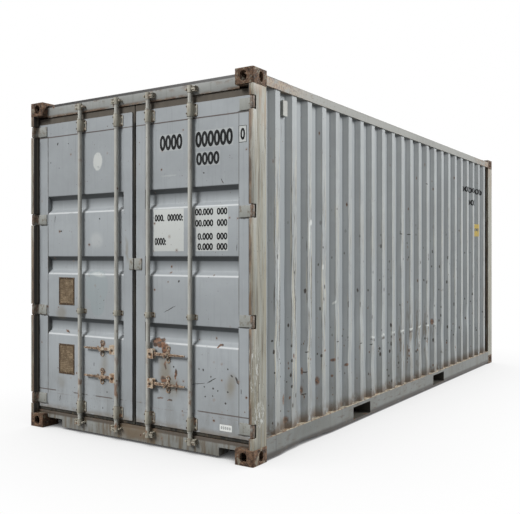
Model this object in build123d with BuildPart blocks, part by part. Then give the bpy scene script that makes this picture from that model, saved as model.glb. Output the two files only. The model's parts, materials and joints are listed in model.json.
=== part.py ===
"""Twenty-foot high-cube steel shipping container with two rear doors, one STEP file for each piece.

Millimetres. X runs across the container, Y from the door end (minus) to the blind end (plus), Z up.
The origin is on the ground, below the middle of the container.
"""

import os
from math import atan2, tan

from build123d import *

# Overall size, over the corner castings
length = 6058.0
width = 2438.0
height = 2896.0

# How far the frame stands back from the casting faces, the ground and the top
frame_setback = 3.0
ground_gap = 20.0
roof_setback = 36.0

# Corner castings
casting_length = 178.0
casting_width = 162.0
casting_height = 118.0
casting_wall = 26.0
casting_inner_wall = 12.0
casting_edge_radius = 12.0
top_slot_length = 124.0
side_slot_height = 79.0
end_slot_height = 79.0
slot_width = 63.5
side_slot_width = 51.0
slot_inset_x = 89.5
slot_inset_y = 102.5

# Sheets and rolled sections
sheet = 2.0
rail_wall = 4.5
post_wall = 6.0
header_wall = 4.0

# Rear corner posts: the strip seen from the rear and the leg that the doors close on
post_face = 40.0
stop_leg = 64.0

# Front corner posts
front_post_side = 40.0
front_post_face = 100.0
front_post_depth = 60.0

# Bottom and top side rails
bottom_rail_height = 155.0
bottom_rail_flange = 48.0
top_rail_height = 70.0
top_rail_width = 60.0

# Door end beams
sill_height = 123.0
sill_notch_width = 191.0
sill_notch_height = 65.0
sill_ear_height = 25.0
header_height = 108.0
header_depth = 93.0
header_top_setback = 24.0
stop_plate_height = 84.0

# Front end beams and wall
front_sill_height = 130.0
front_beam_depth = 60.0
front_wall_setback = 12.0
front_trough_mouth = 140.0
front_trough_floor = 104.0
front_trough_depth = 42.0
front_trough_pitch = 250.0

# Side walls: ridges stand out from the flats of the wall
wall_setback = 8.0
ridge_pitch = 244.0
ridge_base = 180.0
ridge_top = 68.0
ridge_depth = 36.0

# Roof: pressed ribs across the container
roof_rib_pitch = 209.0
roof_rib_width = 92.0
roof_rib_height = 18.0
roof_rib_slope = 45.0
roof_rib_end_gap = 20.0
roof_edge = 60.0

# Corner plates on the roof
corner_plate_length = 300.0
corner_plate_width = 140.0
corner_plate_thickness = 3.0

# Floor
cross_member_height = 128.0
cross_member_width = 45.0
cross_member_wall = 4.0
cross_member_pitch = 285.0
floor_thickness = 28.0
floor_side_gap = 10.0
floor_panel_length = 1160.0
floor_panel_gap = 2.0

# Forklift pockets
pocket_spacing = 2058.0
pocket_shift = 208.0
pocket_width = 360.0
pocket_strap = 14.0
pocket_plate = 4.0
pocket_bottom_length = 300.0

# Doors
door_recess = 56.0
door_depth = 50.0
door_bottom_gap = 32.0
door_top_gap = 60.0
door_hinge_gap = 12.0
door_centre_gap = 44.0
stop_clearance = 8.0
hinge_stile = 114.0
free_stile = 97.0
top_door_rail = 120.0
bottom_door_rail = 135.0
door_frame_wall = 4.0
panel_setback = 2.0
band_count = 3
band_pitch = 534.0
band_mouth = 152.0
band_floor = 82.0
band_depth = 36.0

# Door gaskets
running_clearance = 5.0
gasket_thickness = 14.0
gasket_setback = 12.0

# Hinges
hinge_inset_bottom = 80.0
hinge_inset_top = 64.0
hinge_shares = (0.0, 0.332, 0.67, 1.0)
hinge_height = 88.0
hinge_gap = 6.0
pin_radius = 8.0
pin_inset_x = 17.0
pin_inset_y = 16.0
knuckle_radius = 16.0
blade_thickness = 8.0
blade_length = 137.0
blade_neck = 14.0
lug_thickness = 10.0
fit_clearance = 0.05

# Locking bars
bar_radius = 17.0
bar_wall = 3.5
bar_gap = 10.0
inner_bar_offset = 153.0
outer_bar_offset = 588.0
bar_collar_radius = 21.0
bar_collar_height = 8.0

# Bearings of the locking bars
bearing_height = 100.0
bearing_edge_gap = 8.0
bearing_radius = 25.0
bearing_plate = 6.0
bearing_flange = 28.0
bearing_flange_share = 0.84
bearing_slot_share = 0.4
guide_height = 44.0
guide_level = 880.0

# Cams and keepers
cam_reach = 54.0
cam_height = 56.0
cam_arm_height = 16.0
cam_arm_width = 20.0
keeper_gap = 28.0
keeper_width = 30.0
keeper_reach = 38.0
keeper_wall = 8.0
keeper_knob_radius = 9.0
sill_cam_level = 80.0
header_cam_level = 44.0

# Handles, hubs and catches
lower_handle_level = 337.0
upper_handle_level = 573.0
hub_offset = 36.0
hub_height = 76.0
hub_plate = 8.0
hub_reach = 66.0
hub_play = 2.0
handle_thickness = 12.0
handle_eye_radius = 15.0
handle_length = 337.0
handle_root_height = 26.0
handle_tip_height = 14.0
bolt_radius = 6.0
bolt_head_radius = 11.0
bolt_head_height = 5.0
catch_offset = 156.0
catch_ring_radius = 22.0
catch_ring_hole = 10.0
catch_ring_spacing = 96.0
catch_web = 30.0
catch_plate = 6.0
catch_lip_width = 40.0
catch_lip_reach = 28.0
seal_lug_length = 62.0
seal_lug_width = 18.0
seal_lug_slant = 45.0
seal_lug_hole = 4.5
seal_lug_hole_offset = 16.0

# Door cleats
cleat_height = 93.0
cleat_level = 1286.0
cleat_thickness = 8.0
right_cleat_width = 82.0
left_cleat_width = 48.0

# Data plates on the left door
plate_width = 196.0
upper_plate_height = 242.0
upper_plate_level = 1043.0
lower_plate_height = 263.0
lower_plate_level = 448.0
plate_offset = 242.0
plate_thickness = 2.0

# Ventilators under the top side rails
vent_width = 62.0
vent_height = 120.0
vent_depth = 28.0
vent_drop = 58.0
vent_corner = 6.0

# How far a cutting shape runs past the face that it cuts
overcut = 1.0

# Planes that several pieces share
end_y = length / 2
side_x = width / 2
frame_x = side_x - frame_setback
frame_y = end_y - frame_setback
casting_x = side_x - casting_width
casting_y = end_y - casting_length
door_y = -end_y + door_recess
door_back_y = door_y + door_depth
stop_y = door_back_y + stop_clearance
strip_x = frame_x - post_face
stop_x = strip_x - stop_leg
sill_top = ground_gap + sill_height
header_top = height - header_top_setback
header_bottom = header_top - header_height
header_back_y = door_y + header_depth
floor_bottom = ground_gap + cross_member_height
floor_top = floor_bottom + floor_thickness
rail_top = ground_gap + bottom_rail_height
roof_z = height - roof_setback
top_rail_bottom = roof_z - top_rail_height
front_wall_y = end_y - front_wall_setback
front_sill_top = ground_gap + front_sill_height
front_beam_y = frame_y - front_beam_depth
ridge_x = frame_x - wall_setback
wall_x = ridge_x - ridge_depth
web_x = frame_x - rail_wall
flange_x = frame_x - bottom_rail_flange
floor_x = wall_x - sheet - floor_side_gap

# The right-hand door, in the plane of the door
door_bottom = sill_top + door_bottom_gap
door_top = header_bottom - door_top_gap
door_free_x = door_centre_gap / 2
door_hinge_x = strip_x - door_hinge_gap
panel_left = door_free_x + free_stile
panel_right = door_hinge_x - hinge_stile
panel_bottom = door_bottom + bottom_door_rail
panel_top = door_top - top_door_rail
panel_y = door_y + panel_setback
pin_x = frame_x - pin_inset_x
pin_y = -frame_y + pin_inset_y
bar_y = door_y - bar_gap - bar_radius
inner_bar_x = door_free_x + inner_bar_offset
outer_bar_x = door_free_x + outer_bar_offset
hub_x = inner_bar_x + hub_offset
sill_cam_z = ground_gap + sill_cam_level
header_cam_z = header_bottom + header_cam_level
lowest_hinge = door_bottom + hinge_inset_bottom
hinge_span = door_top - hinge_inset_top - lowest_hinge
hinge_heights = [lowest_hinge + share * hinge_span for share in hinge_shares]
handle_heights = [door_bottom + lower_handle_level, door_bottom + upper_handle_level]

os.makedirs("parts", exist_ok=True)


def write(part, name):
    """Labels a finished piece and writes its file."""
    part.label = name
    export_step(part, f"parts/{name}.step")


def write_pair(right_part, stem):
    """Writes a right-hand piece and its mirror image on the left."""
    write(right_part, f"right_{stem}")
    write(mirror(right_part, about=Plane.YZ), f"left_{stem}")


def box_between(x, y, z, mode=Mode.ADD):
    """A box from its two ends along X, Y and Z, each given as a pair."""
    centre = ((x[0] + x[1]) / 2, (y[0] + y[1]) / 2, (z[0] + z[1]) / 2)
    with Locations(centre):
        Box(abs(x[1] - x[0]), abs(y[1] - y[0]), abs(z[1] - z[0]), mode=mode)


def facing_rear(y):
    """The XZ plane at a given Y, from which positive extrusion runs towards the door end."""
    return Plane.XZ.offset(-y)


def skin(start, end, centres, mouth, floor, depth, thickness):
    """Corners of one skin of a bent sheet, as (along, depth), with a trough at each centre."""
    run = (mouth - floor) / 2
    lean = thickness * tan(atan2(depth, run) / 2)
    corners = [(start, thickness)]
    for centre in centres:
        corners.append((centre - mouth / 2 - lean, thickness))
        corners.append((centre - floor / 2 - lean, depth + thickness))
        corners.append((centre + floor / 2 + lean, depth + thickness))
        corners.append((centre + mouth / 2 + lean, thickness))
    corners.append((end, thickness))
    return corners


def spread(count, pitch, middle=0.0):
    """Positions of equally spaced items about a middle."""
    first = middle - (count - 1) * pitch / 2
    return [first + index * pitch for index in range(count)]


# Corner castings: hollow, with a slot in the outer face of each side
def casting(bottom_z, slotted_z):
    """The right rear casting, its open face at slotted_z, mirrored to all four corners."""
    middle_x = side_x - slot_inset_x
    middle_y = -end_y + slot_inset_y
    cavity_x = (casting_x + casting_inner_wall, side_x - casting_wall)
    cavity_y = (-end_y + casting_wall, -casting_y - casting_inner_wall)
    cavity_z = (bottom_z + casting_wall, bottom_z + casting_height - casting_wall)
    middle_z = bottom_z + casting_height / 2
    with BuildPart() as corner:
        box_between((casting_x, side_x), (-end_y, -casting_y), (bottom_z, bottom_z + casting_height))
        outer_edges = corner.edges().filter_by(Axis.Z).sort_by(Axis.X)[-2:].sort_by(Axis.Y)[:1]
        fillet(outer_edges, casting_edge_radius)
        box_between(cavity_x, cavity_y, cavity_z, mode=Mode.SUBTRACT)
        with BuildSketch(Plane.XY.offset(slotted_z)):
            with Locations((middle_x, middle_y)):
                SlotOverall(top_slot_length, slot_width, rotation=90)
        extrude(amount=casting_wall + overcut, both=True, mode=Mode.SUBTRACT)
        with BuildSketch(Plane.YZ.offset(side_x)):
            with Locations((middle_y, middle_z)):
                SlotOverall(side_slot_height, side_slot_width, rotation=90)
        extrude(amount=casting_wall + overcut, both=True, mode=Mode.SUBTRACT)
        with BuildSketch(facing_rear(-end_y)):
            with Locations((middle_x, middle_z)):
                SlotOverall(end_slot_height, slot_width, rotation=90)
        extrude(amount=casting_wall + overcut, both=True, mode=Mode.SUBTRACT)
        mirror(about=Plane.YZ)
        mirror(about=Plane.XZ)
    return corner.part


write(casting(0.0, 0.0), "bottom_corner_castings")
write(casting(height - casting_height, height), "top_corner_castings")

# Rear corner posts: a closed section with a leg that the door closes on, notched at each hinge
with BuildPart() as rear_post:
    with BuildSketch(Plane.XY.offset(casting_height)):
        Polygon(
            (frame_x, -frame_y),
            (frame_x, -casting_y),
            (stop_x, -casting_y),
            (stop_x, stop_y),
            (strip_x, stop_y),
            (strip_x, -frame_y),
            align=None,
        )
        offset(amount=-post_wall, kind=Kind.INTERSECTION, mode=Mode.SUBTRACT)
    extrude(amount=height - 2 * casting_height)
    notch_half = hinge_height / 2 + hinge_gap
    for level in hinge_heights:
        box_between(
            (strip_x - overcut, frame_x + overcut),
            (-frame_y - overcut, pin_y + knuckle_radius + pin_radius),
            (level - notch_half, level + notch_half),
            mode=Mode.SUBTRACT,
        )
        box_between(
            (strip_x - overcut, frame_x - post_wall - hinge_gap),
            (-frame_y - overcut, door_y + pin_radius),
            (level - notch_half, level + notch_half),
            mode=Mode.SUBTRACT,
        )
write_pair(rear_post.part, "rear_post")

# Hinge lugs inside the posts, above and below each notch, and the pins that they hold
with BuildPart() as hinge_lugs:
    for level in hinge_heights:
        for bottom in (level - notch_half - lug_thickness, level + notch_half):
            box_between(
                (strip_x + post_wall, frame_x - post_wall),
                (-frame_y + post_wall, pin_y + knuckle_radius + pin_radius),
                (bottom, bottom + lug_thickness),
            )
        with BuildSketch(Plane.XY.offset(level)):
            with Locations((pin_x, pin_y)):
                Circle(pin_radius)
        extrude(amount=notch_half + lug_thickness, both=True, mode=Mode.SUBTRACT)
    mirror(about=Plane.YZ)
write(hinge_lugs.part, "hinge_lugs")

with BuildPart() as hinge_pins:
    for level in hinge_heights:
        with BuildSketch(Plane.XY.offset(level)):
            with Locations((pin_x, pin_y)):
                Circle(pin_radius)
        extrude(amount=notch_half + lug_thickness, both=True)
    mirror(about=Plane.YZ)
write(hinge_pins.part, "hinge_pins")

# Front corner posts
with BuildPart() as front_post:
    with BuildSketch(Plane.XY.offset(casting_height)):
        Polygon(
            (frame_x, frame_y),
            (frame_x, casting_y),
            (frame_x - front_post_side, casting_y),
            (frame_x - front_post_side, frame_y - front_post_depth),
            (frame_x - front_post_face, frame_y - front_post_depth),
            (frame_x - front_post_face, frame_y),
            align=None,
        )
        offset(amount=-post_wall, kind=Kind.INTERSECTION, mode=Mode.SUBTRACT)
    extrude(amount=height - 2 * casting_height)
write_pair(front_post.part, "front_post")

# Door sill: a hollow beam with a step that the doors close on and a notch beside each casting
with BuildPart() as rear_sill:
    with BuildSketch(Plane.YZ) as sill_outline:
        Polygon(
            (door_y, ground_gap),
            (door_y, sill_top),
            (stop_y, sill_top),
            (stop_y, floor_top),
            (-casting_y, floor_top),
            (-casting_y, ground_gap),
            align=None,
        )
    extrude(amount=casting_x, both=True)
    for side in (-1, 1):
        box_between(
            (side * (casting_x - sill_notch_width), side * casting_x),
            (door_y, -casting_y),
            (ground_gap, ground_gap + sill_notch_height),
            mode=Mode.SUBTRACT,
        )
        box_between(
            (side * casting_x, side * strip_x),
            (door_y, stop_y),
            (sill_top - sill_ear_height, sill_top),
        )
    with BuildSketch(Plane.YZ):
        offset(sill_outline.sketch_local, amount=-rail_wall, kind=Kind.INTERSECTION)
    extrude(amount=casting_x - sill_notch_width - rail_wall, both=True, mode=Mode.SUBTRACT)
    for side in (-1, 1):
        box_between(
            (side * (casting_x - sill_notch_width), side * casting_x),
            (door_y + rail_wall, -casting_y - rail_wall),
            (ground_gap + sill_notch_height + rail_wall, sill_top - rail_wall),
            mode=Mode.SUBTRACT,
        )
write(rear_sill.part, "rear_sill")

# Door header: a hollow beam and the plate below it that the doors close on
with BuildPart() as rear_header:
    with BuildSketch(Plane.YZ):
        Polygon(
            (door_y, header_bottom),
            (door_y, header_top),
            (header_back_y, header_top),
            (header_back_y, header_bottom),
            align=None,
        )
        offset(amount=-header_wall, kind=Kind.INTERSECTION, mode=Mode.SUBTRACT)
    extrude(amount=casting_x, both=True)
    box_between(
        (-stop_x, stop_x),
        (stop_y, stop_y + header_wall),
        (header_bottom - stop_plate_height, header_bottom),
    )
write(rear_header.part, "rear_header")

# Front sill and header
with BuildPart() as front_sill:
    with BuildSketch(Plane.YZ):
        Polygon(
            (front_beam_y, ground_gap),
            (front_beam_y, front_sill_top),
            (frame_y, front_sill_top),
            (frame_y, ground_gap),
            align=None,
        )
        offset(amount=-rail_wall, kind=Kind.INTERSECTION, mode=Mode.SUBTRACT)
    extrude(amount=casting_x, both=True)
write(front_sill.part, "front_sill")

with BuildPart() as front_header:
    with BuildSketch(Plane.YZ):
        Polygon(
            (front_beam_y, header_bottom),
            (front_beam_y, roof_z),
            (frame_y, roof_z),
            (frame_y, header_bottom),
            align=None,
        )
        offset(amount=-header_wall, kind=Kind.INTERSECTION, mode=Mode.SUBTRACT)
    extrude(amount=casting_x, both=True)
write(front_header.part, "front_header")

# Forklift pocket places along the container
pocket_centres = spread(2, pocket_spacing, -pocket_shift)
pocket_floor = ground_gap + pocket_strap
pocket_roof = floor_bottom - pocket_plate

# Bottom side rails: a channel open inwards, with the pocket mouths cut through its web
with BuildPart() as bottom_rail:
    with BuildSketch(facing_rear(-casting_y)):
        Polygon(
            (flange_x, ground_gap),
            (frame_x, ground_gap),
            (frame_x, rail_top),
            (flange_x, rail_top),
            (flange_x, rail_top - rail_wall),
            (web_x, rail_top - rail_wall),
            (web_x, ground_gap + rail_wall),
            (flange_x, ground_gap + rail_wall),
            align=None,
        )
    extrude(amount=-2 * casting_y)
    for centre in pocket_centres:
        box_between(
            (web_x - overcut, frame_x + overcut),
            (centre - pocket_width / 2, centre + pocket_width / 2),
            (pocket_floor, pocket_roof),
            mode=Mode.SUBTRACT,
        )
write_pair(bottom_rail.part, "bottom_side_rail")

# Top side rails: square tube
with BuildPart() as top_rail:
    with BuildSketch(facing_rear(-casting_y)):
        Polygon(
            (frame_x - top_rail_width, top_rail_bottom),
            (frame_x, top_rail_bottom),
            (frame_x, roof_z),
            (frame_x - top_rail_width, roof_z),
            align=None,
        )
        offset(amount=-header_wall, kind=Kind.INTERSECTION, mode=Mode.SUBTRACT)
    extrude(amount=-2 * casting_y)
write_pair(top_rail.part, "top_side_rail")

# Side walls: a corrugated sheet between the two rails
ridge_count = int((2 * casting_y - ridge_base) // ridge_pitch) + 1
ridges = spread(ridge_count, ridge_pitch)
with BuildPart() as side_wall:
    outer = skin(-casting_y, casting_y, ridges, ridge_base, ridge_top, -ridge_depth, 0.0)
    inner = skin(-casting_y, casting_y, ridges, ridge_base, ridge_top, -ridge_depth, sheet)
    with BuildSketch(Plane.XY.offset(rail_top)):
        Polygon(*[(wall_x - deep, along) for along, deep in outer + inner[::-1]], align=None)
    extrude(amount=top_rail_bottom - rail_top)
write_pair(side_wall.part, "side_wall")

# Front wall
front_wall_x = frame_x - front_post_face
front_trough_count = int((2 * front_wall_x - front_trough_mouth) // front_trough_pitch)
front_troughs = spread(front_trough_count, front_trough_pitch)
front_shape = (front_troughs, front_trough_mouth, front_trough_floor, front_trough_depth)
with BuildPart() as front_wall:
    outer = skin(-front_wall_x, front_wall_x, *front_shape, 0.0)
    inner = skin(-front_wall_x, front_wall_x, *front_shape, sheet)
    with BuildSketch(Plane.XY.offset(front_sill_top)):
        Polygon(*[(along, front_wall_y - deep) for along, deep in outer + inner[::-1]], align=None)
    extrude(amount=header_bottom - front_sill_top)
write(front_wall.part, "front_wall")

# Roof: one sheet with ribs pressed up from below
roof_length = casting_y * 2
rib_count = int((roof_length - roof_edge) // roof_rib_pitch)
rib_length = 2 * (frame_x - corner_plate_width - roof_rib_end_gap)
with BuildPart() as roof_panel:
    box_between((-frame_x, frame_x), (-casting_y, casting_y), (roof_z, roof_z + sheet))
    box_between((-casting_x, casting_x), (header_back_y, frame_y), (roof_z, roof_z + sheet))
    with BuildSketch(Plane.XY.offset(roof_z + sheet)):
        with GridLocations(1, roof_rib_pitch, 1, rib_count):
            Rectangle(rib_length, roof_rib_width)
    extrude(amount=roof_rib_height, taper=roof_rib_slope)
    with BuildSketch(Plane.XY.offset(roof_z)):
        with GridLocations(1, roof_rib_pitch, 1, rib_count):
            Rectangle(rib_length, roof_rib_width)
    extrude(amount=roof_rib_height, taper=roof_rib_slope, mode=Mode.SUBTRACT)
write(roof_panel.part, "roof_panel")

# Floor: cross members between the side rails, and plywood panels on them
member_front = casting_y - 2 * cross_member_width
member_rear = -casting_y + cross_member_width
member_count = int((member_front - member_rear) // cross_member_pitch) + 1
member_pitch = (member_front - member_rear) / (member_count - 1)
member_places = spread(member_count, member_pitch, (member_front + member_rear) / 2)
pocket_clearance = pocket_width / 2 + pocket_plate + cross_member_width
member_places = [
    place
    for place in member_places
    if min(abs(place - centre) for centre in pocket_centres) > pocket_clearance
]
with BuildPart() as cross_members:
    for place in member_places:
        with BuildSketch(Plane.YZ):
            Polygon(
                (place, ground_gap),
                (place + cross_member_width, ground_gap),
                (place + cross_member_width, ground_gap + cross_member_wall),
                (place + cross_member_wall, ground_gap + cross_member_wall),
                (place + cross_member_wall, floor_bottom - cross_member_wall),
                (place + cross_member_width, floor_bottom - cross_member_wall),
                (place + cross_member_width, floor_bottom),
                (place, floor_bottom),
                align=None,
            )
    extrude(amount=flange_x, both=True)
write(cross_members.part, "cross_members")

floor_length = front_beam_y + casting_y
panel_count = round(floor_length / floor_panel_length)
panel_pitch = floor_length / panel_count
with BuildPart() as floor_boards:
    for place in spread(panel_count, panel_pitch, (front_beam_y - casting_y) / 2):
        half = (panel_pitch - floor_panel_gap) / 2
        box_between((-floor_x, floor_x), (place - half, place + half), (floor_bottom, floor_top))
write(floor_boards.part, "floor_boards")

# Forklift pockets: a tunnel under the floor, open below except at its ends
with BuildPart() as forklift_pockets:
    for centre in pocket_centres:
        half = pocket_width / 2
        box_between(
            (-web_x, web_x),
            (centre - half - pocket_plate, centre + half + pocket_plate),
            (pocket_floor - pocket_plate, pocket_roof + pocket_plate),
        )
        inside_y = (centre - half, centre + half)
        box_between((-web_x, web_x), inside_y, (pocket_floor, pocket_roof), Mode.SUBTRACT)
        box_between(
            (pocket_bottom_length - web_x, web_x - pocket_bottom_length),
            inside_y,
            (pocket_floor - pocket_plate, pocket_floor),
            mode=Mode.SUBTRACT,
        )
write(forklift_pockets.part, "forklift_pockets")

# Corner plates on the roof, inboard of each casting
with BuildPart() as roof_corner_plates:
    box_between(
        (frame_x - corner_plate_width, frame_x),
        (casting_y - corner_plate_length, casting_y),
        (roof_z + sheet, roof_z + sheet + corner_plate_thickness),
    )
    mirror(about=Plane.YZ)
    mirror(about=Plane.XZ)
write(roof_corner_plates.part, "roof_corner_plates")

# Ventilators: a box in the second flat of each side wall, diagonally opposite
vent_y = ridges[0] + ridge_pitch / 2
vent_top = top_rail_bottom - vent_drop
with BuildPart() as ventilators:
    with BuildSketch(Plane.YZ.offset(wall_x)):
        with Locations((vent_y, vent_top - vent_height / 2)):
            RectangleRounded(vent_width, vent_height, vent_corner)
    extrude(amount=vent_depth)
    with BuildSketch(Plane.YZ.offset(-wall_x)):
        with Locations((-vent_y, vent_top - vent_height / 2)):
            RectangleRounded(vent_width, vent_height, vent_corner)
    extrude(amount=-vent_depth)
write(ventilators.part, "ventilators")

# Door frames: two stiles and two rails, pressed channels open to the inside
with BuildPart() as door_frame:
    box_between((door_free_x, door_hinge_x), (door_y, door_back_y), (door_bottom, door_top))
    across = (panel_left, panel_right)
    box_between(across, (door_y, door_back_y), (panel_bottom, panel_top), Mode.SUBTRACT)
    wall = door_frame_wall
    hollow_y = (door_y + wall, door_back_y)
    for x in ((door_free_x + wall, panel_left - wall), (panel_right + wall, door_hinge_x - wall)):
        box_between(x, hollow_y, (door_bottom + wall, door_top - wall), Mode.SUBTRACT)
    for z in ((door_bottom + wall, panel_bottom - wall), (panel_top + wall, door_top - wall)):
        box_between(across, hollow_y, z, Mode.SUBTRACT)
write_pair(door_frame.part, "door_frame")

# Door panels: a sheet with three pressed bands across it
bands = spread(band_count, band_pitch, (panel_bottom + panel_top) / 2)
band_shape = (bands, band_mouth, band_floor, band_depth)
with BuildPart() as door_panel:
    outer = skin(panel_bottom, panel_top, *band_shape, 0.0)
    inner = skin(panel_bottom, panel_top, *band_shape, sheet)
    with BuildSketch(Plane.YZ.offset(panel_left)):
        Polygon(*[(panel_y + deep, along) for along, deep in outer + inner[::-1]], align=None)
    extrude(amount=panel_right - panel_left)
write_pair(door_panel.part, "door_panel")

# Door gaskets: a rubber frame round the edge of each door
with BuildPart() as door_gasket:
    with BuildSketch(facing_rear(door_y + gasket_setback + gasket_thickness)):
        Polygon(
            (running_clearance, sill_top + running_clearance),
            (strip_x - running_clearance, sill_top + running_clearance),
            (strip_x - running_clearance, header_bottom - running_clearance),
            (running_clearance, header_bottom - running_clearance),
            align=None,
        )
        Polygon(
            (door_free_x, door_bottom),
            (door_hinge_x, door_bottom),
            (door_hinge_x, door_top),
            (door_free_x, door_top),
            align=None,
            mode=Mode.SUBTRACT,
        )
    extrude(amount=gasket_thickness)
write_pair(door_gasket.part, "door_gasket")

# Hinge blades: a knuckle on the pin and a cranked plate on the door face
blade_y = door_y - blade_thickness
with BuildPart() as door_hinges:
    for level in hinge_heights:
        with BuildSketch(Plane.XY.offset(level)):
            with Locations((pin_x, pin_y)):
                Circle(knuckle_radius)
            Polygon(
                (pin_x - blade_neck, pin_y),
                (pin_x - blade_neck - blade_thickness, blade_y),
                (pin_x - blade_length, blade_y),
                (pin_x - blade_length, door_y),
                (pin_x - blade_neck, door_y),
                (pin_x, pin_y + blade_neck),
                align=None,
            )
            with Locations((pin_x, pin_y)):
                Circle(pin_radius + fit_clearance, mode=Mode.SUBTRACT)
        extrude(amount=hinge_height / 2, both=True)
write_pair(door_hinges.part, "door_hinges")


def bearing(bar_x, bottom, tall, seat_y, flange_side):
    """One bearing: a housing round the bar, seated on the door, and a slotted flange at one side."""
    middle_x = bar_x + flange_side * (bearing_radius + bearing_flange / 2)
    with BuildPart() as result:
        with BuildSketch(Plane.XY.offset(bottom)):
            with Locations((bar_x, bar_y)):
                Circle(bearing_radius)
            Polygon(
                (bar_x - bearing_radius, bar_y),
                (bar_x + bearing_radius, bar_y),
                (bar_x + bearing_radius, seat_y),
                (bar_x - bearing_radius, seat_y),
                align=None,
            )
            with Locations((bar_x, bar_y)):
                Circle(bar_radius + fit_clearance, mode=Mode.SUBTRACT)
        extrude(amount=tall)
        with BuildSketch(facing_rear(seat_y)):
            with Locations((middle_x, bottom + tall / 2)):
                Rectangle(bearing_flange, tall * bearing_flange_share)
                slot_height = tall * bearing_slot_share
                slot_across = bearing_flange * bearing_slot_share
                SlotOverall(slot_height, slot_across, rotation=90, mode=Mode.SUBTRACT)
        extrude(amount=bearing_plate)
    return result.part


def bearings(flange_side):
    """All bearings of the right-hand door, with their flanges towards plus or minus X."""
    places = (
        (door_bottom + bearing_edge_gap, bearing_height, door_y),
        (door_bottom + guide_level - guide_height / 2, guide_height, panel_y),
        (door_top - bearing_edge_gap - bearing_height, bearing_height, door_y),
    )
    bars = (inner_bar_x, outer_bar_x)
    pieces = [bearing(bar_x, *place, flange_side) for bar_x in bars for place in places]
    with BuildPart() as result:
        add(pieces)
    return result.part


write(bearings(1), "right_bar_bearings")
write(mirror(bearings(-1), about=Plane.YZ), "left_bar_bearings")

# Locking bars: a tube with a collar above and below each end bearing
bar_bottom = sill_cam_z - cam_height / 2
bar_top = header_cam_z + cam_height / 2
lower_collars = (
    door_bottom + bearing_edge_gap - running_clearance - bar_collar_height,
    door_bottom + bearing_edge_gap + bearing_height + running_clearance,
)
upper_collars = (
    door_top - bearing_edge_gap + running_clearance,
    door_top - bearing_edge_gap - bearing_height - running_clearance - bar_collar_height,
)


def round_bar(bar_x, radius, bottom, tall, mode=Mode.ADD):
    """An upright round on the axis of a locking bar."""
    with Locations((bar_x, bar_y, bottom + tall / 2)):
        Cylinder(radius, tall, mode=mode)


def locking_bar(bar_x):
    """One right-hand bar."""
    with BuildPart() as bar:
        round_bar(bar_x, bar_radius, bar_bottom, bar_top - bar_bottom)
        for collar in lower_collars + upper_collars:
            round_bar(bar_x, bar_collar_radius, collar, bar_collar_height)
        round_bar(bar_x, bar_radius - bar_wall, bar_bottom, bar_top - bar_bottom, Mode.SUBTRACT)
    return bar.part


write_pair(locking_bar(inner_bar_x), "inner_locking_bar")
write_pair(locking_bar(outer_bar_x), "outer_locking_bar")


# Locking cams: a ring round each end of the bar, with an arm that points towards the hinges
def cams(bar_x):
    """Both cams of one right-hand bar."""
    with BuildPart() as result:
        for level in (sill_cam_z, header_cam_z):
            round_bar(bar_x, bar_collar_radius, level - cam_height / 2, cam_height)
            box_between(
                (bar_x, bar_x + cam_reach),
                (bar_y - cam_arm_width / 2, bar_y + cam_arm_width / 2),
                (level - cam_arm_height / 2, level + cam_arm_height / 2),
            )
        round_bar(bar_x, bar_radius, bar_bottom, bar_top - bar_bottom, Mode.SUBTRACT)
    return result.part


write_pair(cams(inner_bar_x), "inner_bar_cams")
write_pair(cams(outer_bar_x), "outer_bar_cams")

# Handle hubs: on each inner bar, two pairs of plates with a handle's bolt between them
with BuildPart() as handle_hubs:
    half = handle_thickness / 2 + hub_play
    for level in handle_heights:
        for start, outward in ((bar_y - half, 1), (bar_y + half, -1)):
            with BuildSketch(facing_rear(start)):
                with Locations((inner_bar_x + hub_reach / 2, level)):
                    Rectangle(hub_reach, hub_height)
            extrude(amount=outward * hub_plate)
        with BuildSketch(facing_rear(bar_y)):
            with Locations((hub_x, level)):
                Circle(bolt_radius)
        extrude(amount=half + hub_plate, both=True)
        with BuildSketch(facing_rear(bar_y - half - hub_plate)):
            with Locations((hub_x, level)):
                RegularPolygon(bolt_head_radius, side_count=6)
        extrude(amount=bolt_head_height)
    round_bar(inner_bar_x, bar_radius, bar_bottom, bar_top - bar_bottom, Mode.SUBTRACT)
write_pair(handle_hubs.part, "handle_hubs")

# Handles: a tapered bar on the hub's bolt, with a slanting seal lug at the catch
handle_back_y = bar_y + handle_thickness / 2
catch_x = hub_x + catch_offset


def handle(level):
    """One right-hand handle, pointing towards the hinges."""
    with BuildPart() as result:
        with BuildSketch(facing_rear(handle_back_y)):
            with Locations((hub_x, level)):
                Circle(handle_eye_radius)
            Polygon(
                (hub_x, level - handle_root_height / 2),
                (hub_x + handle_length, level - handle_tip_height / 2),
                (hub_x + handle_length, level + handle_tip_height / 2),
                (hub_x, level + handle_root_height / 2),
                align=None,
            )
            with Locations((hub_x + handle_length, level)):
                Circle(handle_tip_height / 2)
            with Locations((hub_x, level)):
                Circle(bolt_radius + fit_clearance, mode=Mode.SUBTRACT)
        extrude(amount=handle_thickness)
        with BuildSketch(facing_rear(handle_back_y - handle_thickness)):
            with Locations((catch_x, level)):
                SlotOverall(seal_lug_length, seal_lug_width, rotation=seal_lug_slant)
            with Locations((catch_x + seal_lug_hole_offset, level + seal_lug_hole_offset)):
                Circle(seal_lug_hole, mode=Mode.SUBTRACT)
        extrude(amount=catch_plate)
    return result.part


write_pair(handle(handle_heights[0]), "lower_handle")
write_pair(handle(handle_heights[1]), "upper_handle")

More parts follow.
